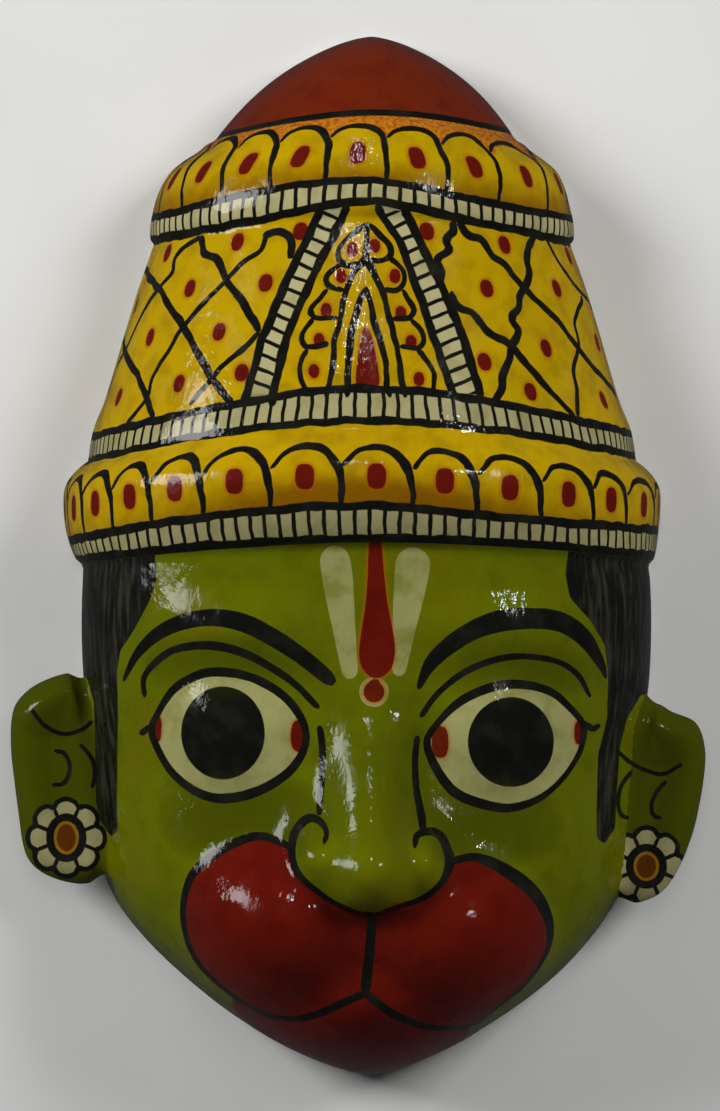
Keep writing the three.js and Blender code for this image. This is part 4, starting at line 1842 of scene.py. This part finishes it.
@dataclass
class Shader:
    """A material's nodes, added one call at a time."""

    name: str

    def __post_init__(self) -> None:
        """Makes the material, with nothing but its output and its surface."""
        self.material = bpy.data.materials.new(self.name)
        self.material.use_nodes = True
        self.tree = self.material.node_tree
        self.tree.nodes.clear()

    def node(
        self,
        kind: str,
        settings: dict[str, object] | None = None,
        sockets: dict[str | int, object] | None = None,
    ) -> bpy.types.Node:
        """Adds a node.

        Args:
            kind: The node's type.
            settings: Its settings, which are set first.
            sockets: Values or links for its sockets, by name or number.

        Returns:
            The node.
        """
        node = self.tree.nodes.new(kind)
        for name, value in (settings or {}).items():
            setattr(node, name, value)
        for name, value in (sockets or {}).items():
            socket = node.inputs[name]
            if isinstance(value, Wire):
                self.tree.links.new(value.socket, socket)
            elif isinstance(value, bpy.types.NodeSocket):
                self.tree.links.new(value, socket)
            else:
                socket.default_value = value
        return node

    def attribute(self, name: str) -> Wire:
        """A number kept at each point of the mesh."""
        return Wire(self, self.node("ShaderNodeAttribute", {"attribute_name": name}).outputs["Fac"])

    def attribute_parts(self, name: str) -> tuple[Wire, Wire, Wire]:
        """Three numbers kept at each point of the mesh."""
        return self.split(self.node("ShaderNodeAttribute", {"attribute_name": name}).outputs["Vector"])

    def split(self, vector: bpy.types.NodeSocket) -> tuple[Wire, Wire, Wire]:
        """The three numbers of a vector."""
        node = self.node("ShaderNodeSeparateXYZ", None, {0: vector})
        return tuple(Wire(self, output) for output in node.outputs)

    def place(self) -> bpy.types.NodeSocket:
        """The place on the mesh, in metres."""
        return self.node("ShaderNodeTexCoord").outputs["Object"]

    def grain(self, size: float, detail: float = 2.0, stretch: Triple = (1, 1, 1)) -> Wire:
        """Soft noise from 0 to 1, with features of a size in millimetres.

        Args:
            size: The features' size.
            detail: How many finer octaves are added.
            stretch: How much shorter the features are along each axis.

        Returns:
            The noise.
        """
        mapping = self.node("ShaderNodeMapping", None, {"Vector": self.place(), "Scale": stretch})
        scale = {"Vector": mapping.outputs[0], "Scale": 1 / (size * MM), "Detail": detail}
        return Wire(self, self.node("ShaderNodeTexNoise", None, scale).outputs["Fac"])

    def mix(self, share: Wire | float, first: object, second: object) -> bpy.types.NodeSocket:
        """A second colour over a first, by the share of the second that shows."""
        first, second = (opaque(c) if isinstance(c, tuple) else c for c in (first, second))
        return self.node("ShaderNodeMix", {"data_type": "RGBA"}, {0: share, 6: first, 7: second}).outputs[2]

    def finish(self, sockets: dict[str | int, object]) -> bpy.types.Material:
        """Closes the material with one surface.

        Args:
            sockets: Values or links for the surface's sockets.

        Returns:
            The finished material.
        """
        surface = self.node("ShaderNodeBsdfPrincipled", None, sockets)
        self.node("ShaderNodeOutputMaterial", None, {"Surface": surface.outputs[0]})
        return self.material


@dataclass(frozen=True)
class Patches:
    """Soft patches of a size in millimetres: the noise that they start at and are full at."""

    size: float
    detail: float
    starts: float
    full: float
    stretch: Triple = (1, 1, 1)

    def on(self, shader: Shader) -> Wire:
        """How fully a patch covers each point."""
        return shader.grain(self.size, self.detail, self.stretch).rising(self.starts, self.full)


@dataclass(frozen=True)
class Drift:
    """A soft drift either way about 0, of a size in millimetres."""

    size: float
    detail: float
    spread: float

    def on(self, shader: Shader) -> Wire:
        """The drift at each point."""
        return (shader.grain(self.size, self.detail) - 0.5) * self.spread


@dataclass(frozen=True)
class Paint:
    """One paint, and how it looks where it was laid on thin."""

    plain: Colour
    thin: Colour

    def on(self, shader: Shader, thinness: Wire) -> bpy.types.NodeSocket:
        """The paint's colour, by how thinly it lies."""
        return shader.mix(thinness, self.plain, self.thin)


@dataclass(frozen=True)
class PaintedPaste:
    """The finish of the whole mask: bright paints under varnish outside, bare paste within."""

    sheets: int
    name: str = "painted_paste"
    green: Paint = Paint((92, 100, 0), (84, 91, 0))
    olive: Colour = (102, 97, 0)
    black: Paint = Paint((16, 16, 12), (28, 28, 22))
    white: Paint = Paint((154, 152, 96), (136, 134, 76))
    cream: Paint = Paint((174, 166, 120), (154, 147, 100))
    mark: Paint = Paint((142, 143, 86), (118, 122, 56))
    red: Paint = Paint((95, 18, 6), (86, 14, 5))
    cap: Paint = Paint((102, 32, 9), (93, 26, 7))
    yellow: Paint = Paint((181, 148, 0), (162, 130, 0))
    # The brown of the painted shade on the crown's yellow
    shaded: Colour = (120, 74, 0)
    orange: Paint = Paint((186, 116, 20), (150, 76, 8))
    amber: Colour = (158, 116, 10)
    # Grey streaks in the hair's black: painted sheen
    hair_sheen: Colour = (56, 56, 46)
    # The dark green that painted shade darkens towards, in the face's hollows, on the ears and on the lower
    # ladders
    painted_shade: Colour = (64, 70, 0)
    halo: Colour = (160, 78, 4)
    primer: Paint = Paint((176, 172, 160), (120, 112, 98))
    paste: Paint = Paint((122, 98, 72), (84, 64, 46))
    thin: Patches = Patches(9, 4, 0.42, 0.72)
    orange_thin: Patches = Patches(1.5, 3, 0.4, 0.65)
    bare_stains: Patches = Patches(3, 5, 0.35, 0.7)
    polished: Patches = Patches(12, 4, 0.62, 0.52)
    aged: Patches = Patches(36, 3, 0.48, 0.66)
    strands: Patches = Patches(2.4, 4, 0.45, 0.68, (1, 0.1, 1))
    olive_share: float = 0.6
    strand_share: float = 0.7
    # How far the painted shade turns the yellow brown, and the shade numbers it starts and is full at
    shade_share: float = 0.9
    shade_shows: Pair = (0.1, 1.1)
    halo_share: float = 0.5
    halo_edge: Pair = (-1.6, -0.2)
    # How far the painted shade also darkens the colours laid over the green
    painted_shade_over_paint: float = 0.35
    edge: float = 0.16
    fill_wobble: float = 0.6
    ink_wobble: float = 0.7
    rim_wobble: float = 2
    wobble: Drift = Drift(5, 2, 0.5)
    # Unevenness of the crown's painted shade
    crown_shade: Drift = Drift(6, 4, 0.4)
    stray: Drift = Drift(8, 1, 2)
    tick_stray: Drift = Drift(7, 1, 0.25)
    rim_stray: Drift = Drift(24, 2, 5)
    stray_full: float = 3
    tick: float = 0.14
    tick_edge: float = 0.03
    guard_edge: Pair = (-0.3, 0.1)
    rim_height: float = 2.6
    rim_edge: float = 0.4
    dullness: float = 0.19
    polish: float = 0.13
    bare_dullness: float = 0.85
    inside_edge: Pair = (0.35, 0.65)
    reflection: float = 0.4
    brushed: float = 0.34
    brushed_grain: tuple[float, float, Triple] = (5, 2, (1, 0.5, 1))
    fine: float = 0.15
    fine_grain: tuple[float, float, Triple] = (1.8, 3, (1, 0.6, 1))
    gritty: float = 0.5
    gritty_grain: Pair = (1.6, 4)

    def material(self) -> bpy.types.Material:
        """Builds the finish.

        Returns:
            The finished material.
        """
        shader = Shader(self.name)
        thin, wobble = self.thin.on(shader), self.wobble.on(shader)
        inside = shader.attribute("inside").rising(*self.inside_edge)
        skin = self.skin(shader, thin, wobble)
        rim = self.rim(shader, wobble)
        skin = shader.mix(rim, skin, self.primer.on(shader, thin))
        bare = self.paste.on(shader, self.bare_stains.on(shader))
        base = shader.mix(inside, skin, bare)
        rough = self.polished.on(shader) * -self.polish + self.dullness
        raw = inside.most(rim)
        roughness = rough * (1.0 - raw) + raw * self.bare_dullness
        bump = self.relief(shader, raw)
        sockets = {"Base Color": base, "Roughness": roughness, "Normal": bump}
        return shader.finish({**sockets, "Specular IOR Level": self.reflection})

    def covers(self, shader: Shader, fill: Fill, wobble: Wire) -> Wire:
        """Where a colour lies, with its hand-drawn edge."""
        return (shader.attribute(fill.value) + wobble * self.fill_wobble).rising(-self.edge, self.edge)

    def skin(self, shader: Shader, thin: Wire, wobble: Wire) -> bpy.types.NodeSocket:
        """The painted outside's colour.

        Args:
            shader: The finish being built.
            thin: Where the paint lies thin.
            wobble: How far edges stray, in millimetres.

        Returns:
            The colour.
        """
        # Painted shade: the green, and more lightly every colour over it, darkens as far as the mesh's
        # painted-shade numbers say
        painted_shade = shader.attribute("painted_shade")
        olive = self.aged.on(shader) * self.olive_share
        base = shader.mix(painted_shade, shader.mix(olive, self.green.on(shader, thin), self.olive), self.painted_shade)
        black, red = self.black.on(shader, thin), self.red.on(shader, thin)
        # The hair's black streaked with grey, a painted sheen
        strands = self.strands.on(shader) * self.strand_share
        layers = {
            Fill.HAIR: shader.mix(strands, black, self.hair_sheen),
            Fill.EYE: self.white.on(shader, thin),
            Fill.MARK: self.mark.on(shader, thin),
            Fill.RED: red,
            Fill.YELLOW: self.petals(shader, thin),
            Fill.ORANGE: self.orange.on(shader, self.orange_thin.on(shader)),
            Fill.CREAM: self.cream.on(shader, thin),
            Fill.CORE: self.amber,
            Fill.CAP: self.cap.on(shader, thin),
            Fill.SPOT: red,
            Fill.PUPIL: black,
        }
        for fill, paint in layers.items():
            if fill is Fill.SPOT:
                halo = (shader.attribute(fill.value) + wobble).rising(*self.halo_edge) * self.halo_share
                base = shader.mix(halo, base, self.halo)
            base = shader.mix(self.covers(shader, fill, wobble), base, paint)
        base = shader.mix(painted_shade * self.painted_shade_over_paint, base, self.painted_shade)
        return shader.mix(self.ink(shader, wobble), base, black)

    def petals(self, shader: Shader, thin: Wire) -> bpy.types.NodeSocket:
        """The crown's yellow, turned brown towards the petals' feet, partly their own paint and partly
        painted shade, and darker across the crown's front by painted shade.
        """
        crown_shade = (shader.attribute("shade") + self.crown_shade.on(shader)).rising(*self.shade_shows)
        return shader.mix(crown_shade * self.shade_share, self.yellow.on(shader, thin), self.shaded)

    def ink(self, shader: Shader, wobble: Wire) -> Wire:
        """Where the black lines and the ladders' ticks lie.

        Args:
            shader: The finish being built.
            wobble: How far edges stray, in millimetres.

        Returns:
            The share of ink.
        """
        gap = (shader.attribute("tick") + self.tick_stray.on(shader)).fraction() - 0.5
        ticks = self.tick - gap.size()
        total = ticks.rising(-self.tick_edge, self.tick_edge) * self.covers(shader, Fill.CREAM, wobble)
        crown = shader.attribute(Fill.YELLOW.value).rising(0, self.stray_full)
        stray = self.stray.on(shader) * crown
        for i in range(self.sheets):
            beside, half, guard = shader.attribute_parts(f"line_{i}")
            inked = half - (beside + stray).size() + wobble * self.ink_wobble
            total = total.most(inked.rising(-self.edge, self.edge) * guard.rising(*self.guard_edge))
        return total

    def rim(self, shader: Shader, wobble: Wire) -> Wire:
        """Where the raw primed edge shows, just above the foot of the wall.

        Args:
            shader: The finish being built.
            wobble: How far edges stray, in millimetres.

        Returns:
            The share of raw edge.
        """
        height = shader.split(shader.place())[2] * (1 / MM)
        ragged = height + wobble * self.rim_wobble + self.rim_stray.on(shader)
        return 1.0 - ragged.rising(self.rim_height - self.rim_edge, self.rim_height + self.rim_edge)

    def relief(self, shader: Shader, raw: Wire) -> bpy.types.NodeSocket:
        """The fine unevenness of varnish over brushed paint, coarser where the paste is bare.

        Args:
            shader: The finish being built.
            raw: Where primer or paste is bare.

        Returns:
            The direction of the surface.
        """
        brushed = shader.grain(*self.brushed_grain) * self.brushed
        fine = shader.grain(*self.fine_grain) * self.fine
        gritty = shader.grain(*self.gritty_grain) * self.gritty
        height = (brushed + fine) * (1.0 - raw) + gritty * raw
        sockets = {"Height": height, "Distance": MM, "Strength": 1.0}
        return shader.node("ShaderNodeBump", None, sockets).outputs[0]


@dataclass
class Mask:
    """The mask: its mesh, what is painted on it and its finish."""

    body: MaskBody = field(default_factory=MaskBody)
    # Where the painted shade on the ears starts and is full, in millimetres out from the middle
    ear_shade_starts: float = 88.0
    ear_shade_full: float = 102.0

    def surface(self, shell: Shell, parts: Array) -> Surface:
        """Works out where each point lies in the drawings' charts.

        Args:
            shell: The mesh.
            parts: Each point's part.

        Returns:
            What is known about the points.
        """
        shape = self.body.shape
        x, y, z = shell.points.T
        near = VIEW_DISTANCE / (VIEW_DISTANCE - z)
        seen = np.stack([AIM_X + (x - AIM_X) * near, AIM_Y + (y - AIM_Y) * near], axis=1)
        half, high = np.maximum(shape.half_width(y), 1), np.maximum(shape.height(y), 1)
        turn = np.degrees(np.arctan2((x - shape.middle(y)) / half, np.maximum(z, 0) / high))
        ear = parts == Part.EAR.value
        facing = shell.normals()[:, 2] > 0
        outer = (parts != Part.INSIDE.value) & (~ear | facing)
        return Surface(seen, np.stack([turn, seen[:, 1]], axis=1), z, outer, ~ear, shape)

    def build(self) -> bpy.types.Object:
        """Makes the mask.

        Returns:
            The finished object.
        """
        shell, parts = self.body.build()
        painting = Painting(self.surface(shell, parts))
        for subject in (Hair, ForeheadMark, Brows, Eyes, NoseAndMouth, EarPaint, CrownPaint, HollowShade):
            subject().paint(painting)
            LOG.info("painted %s", subject.__name__)
        piece = shell.to_object("painted_mask")
        # Painted shade: the ears darken outwards from the head, standing in for the light that reaches them
        # less
        ear = smoothstep(self.ear_shade_starts, self.ear_shade_full, np.abs(shell.points[:, 0]))
        numbers = {fill.value: painting.fills[fill] for fill in Fill}
        numbers["shade"] = painting.shade
        numbers["tick"] = painting.tick
        numbers["painted_shade"] = np.where(parts == Part.EAR.value, ear, painting.painted_shade)
        numbers["inside"] = (parts == Part.INSIDE.value).astype(float)
        for name, values in numbers.items():
            layer = piece.data.attributes.new(name, "FLOAT", "POINT")
            layer.data.foreach_set("value", values.astype(np.float32))
        for i, sheet in enumerate(painting.lines):
            layer = piece.data.attributes.new(f"line_{i}", "FLOAT_VECTOR", "POINT")
            layer.data.foreach_set("vector", sheet.astype(np.float32).ravel())
        places = Unrolling(self.body.shape).places(shell, parts)
        flat = piece.data.uv_layers.new(name="OFBake")
        flat.data.foreach_set("uv", places.astype(np.float32).ravel())
        piece.data.materials.append(PaintedPaste(len(painting.lines)).material())
        LOG.info("mask: %d triangles, %d sheets of lines", len(shell.faces), len(painting.lines))
        return piece


class Lights(Enum):
    """What a lamp lights."""

    COLOURS = "the colours, without showing in the varnish"
    VARNISH = "the varnish, as a reflection of the lamp"


@dataclass(frozen=True)
class Lamp:
    """A rectangular lamp aimed at the mask, with its place and sides in metres and its power in watts."""

    name: str
    lights: Lights
    place: Triple
    width: float
    height: float
    power: float

    def build(self) -> None:
        """Sets the lamp up."""
        data = bpy.data.lights.new(self.name, "AREA")
        data.shape = "RECTANGLE"
        data.size, data.size_y = self.width, self.height
        data.energy = self.power
        lamp = bpy.data.objects.new(self.name, data)
        lamp.location = self.place
        lamp.rotation_euler = (-Vector(self.place)).to_track_quat("-Z", "Y").to_euler()
        lamp.visible_diffuse = self.lights is Lights.COLOURS
        lamp.visible_glossy = self.lights is Lights.VARNISH
        bpy.context.scene.collection.objects.link(lamp)


@dataclass(frozen=True)
class Studio:
    """A pale floor, soft light from above the crown and a camera straight over the mask."""

    floor_half: float = 3.0
    floor_drop: float = 0.0002
    floor_light: Colour = (222, 222, 220)
    floor_lighter: Colour = (226, 226, 224)
    floor_patches: Patches = Patches(60, 3, 0.2, 0.8)
    floor_roughness: float = 0.9
    image_height: float = 408.3
    sky: Triple = (0.9, 0.93, 1.0)
    sky_strength: float = 0.04
    lamps: tuple[Lamp, ...] = (
        Lamp("key", Lights.COLOURS, (-2.0, 1.0, 1.5), 1.0, 1.0, 58),
        Lamp("fill", Lights.COLOURS, (1.7, 1.1, 1.6), 1.0, 1.0, 40),
        Lamp("front", Lights.COLOURS, (0.0, 0.9, 3.3), 1.2, 1.2, 11),
        Lamp("window", Lights.VARNISH, (-2.4, 0.75, 0.85), 0.8, 1.2, 22),
        Lamp("sky", Lights.VARNISH, (-0.1, 1.55, 2.1), 0.06, 0.2, 2.4),
        Lamp("lamp", Lights.VARNISH, (1.55, 0.85, 1.9), 0.12, 0.12, 4),
    )

    def floor(self) -> bpy.types.Object:
        """Makes the floor.

        Returns:
            The floor.
        """
        mesh = bpy.data.meshes.new("floor")
        half = self.floor_half
        corners = [(-half, -half, 0), (half, -half, 0), (half, half, 0), (-half, half, 0)]
        mesh.from_pydata(corners, [], [(0, 1, 2, 3)])
        shader = Shader("pale_floor")
        tone = shader.mix(self.floor_patches.on(shader), self.floor_light, self.floor_lighter)
        mesh.materials.append(shader.finish({"Base Color": tone, "Roughness": self.floor_roughness}))
        floor = bpy.data.objects.new("floor", mesh)
        bpy.context.scene.collection.objects.link(floor)
        floor.location.z = -self.floor_drop
        floor.visible_glossy = False
        return floor

    def camera(self) -> None:
        """The camera, far enough off for its view to be almost without perspective."""
        data = bpy.data.cameras.new("camera")
        data.sensor_fit = "VERTICAL"
        data.angle_y = 2 * math.atan(self.image_height / 2 / VIEW_DISTANCE)
        camera = bpy.data.objects.new("camera", data)
        camera.location = (AIM_X * MM, AIM_Y * MM, VIEW_DISTANCE * MM)
        bpy.context.scene.collection.objects.link(camera)
        bpy.context.scene.camera = camera

    def build(self) -> None:
        """Sets up the floor, the lights and the camera."""
        self.floor()
        for lamp in self.lamps:
            lamp.build()
        world = bpy.data.worlds.new("room")
        world.use_nodes = True
        background = world.node_tree.nodes["Background"].inputs
        background["Color"].default_value = (*self.sky, 1)
        background["Strength"].default_value = self.sky_strength
        bpy.context.scene.world = world
        bpy.context.scene.view_settings.view_transform = "Standard"
        self.camera()


def main() -> None:
    """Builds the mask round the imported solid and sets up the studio."""
    logging.basicConfig(level=logging.INFO, format="%(message)s")
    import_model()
    piece = Mask().build()
    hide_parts("mask")
    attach(piece, "root")
    Studio().build()


if __name__ == "__main__":
    main()
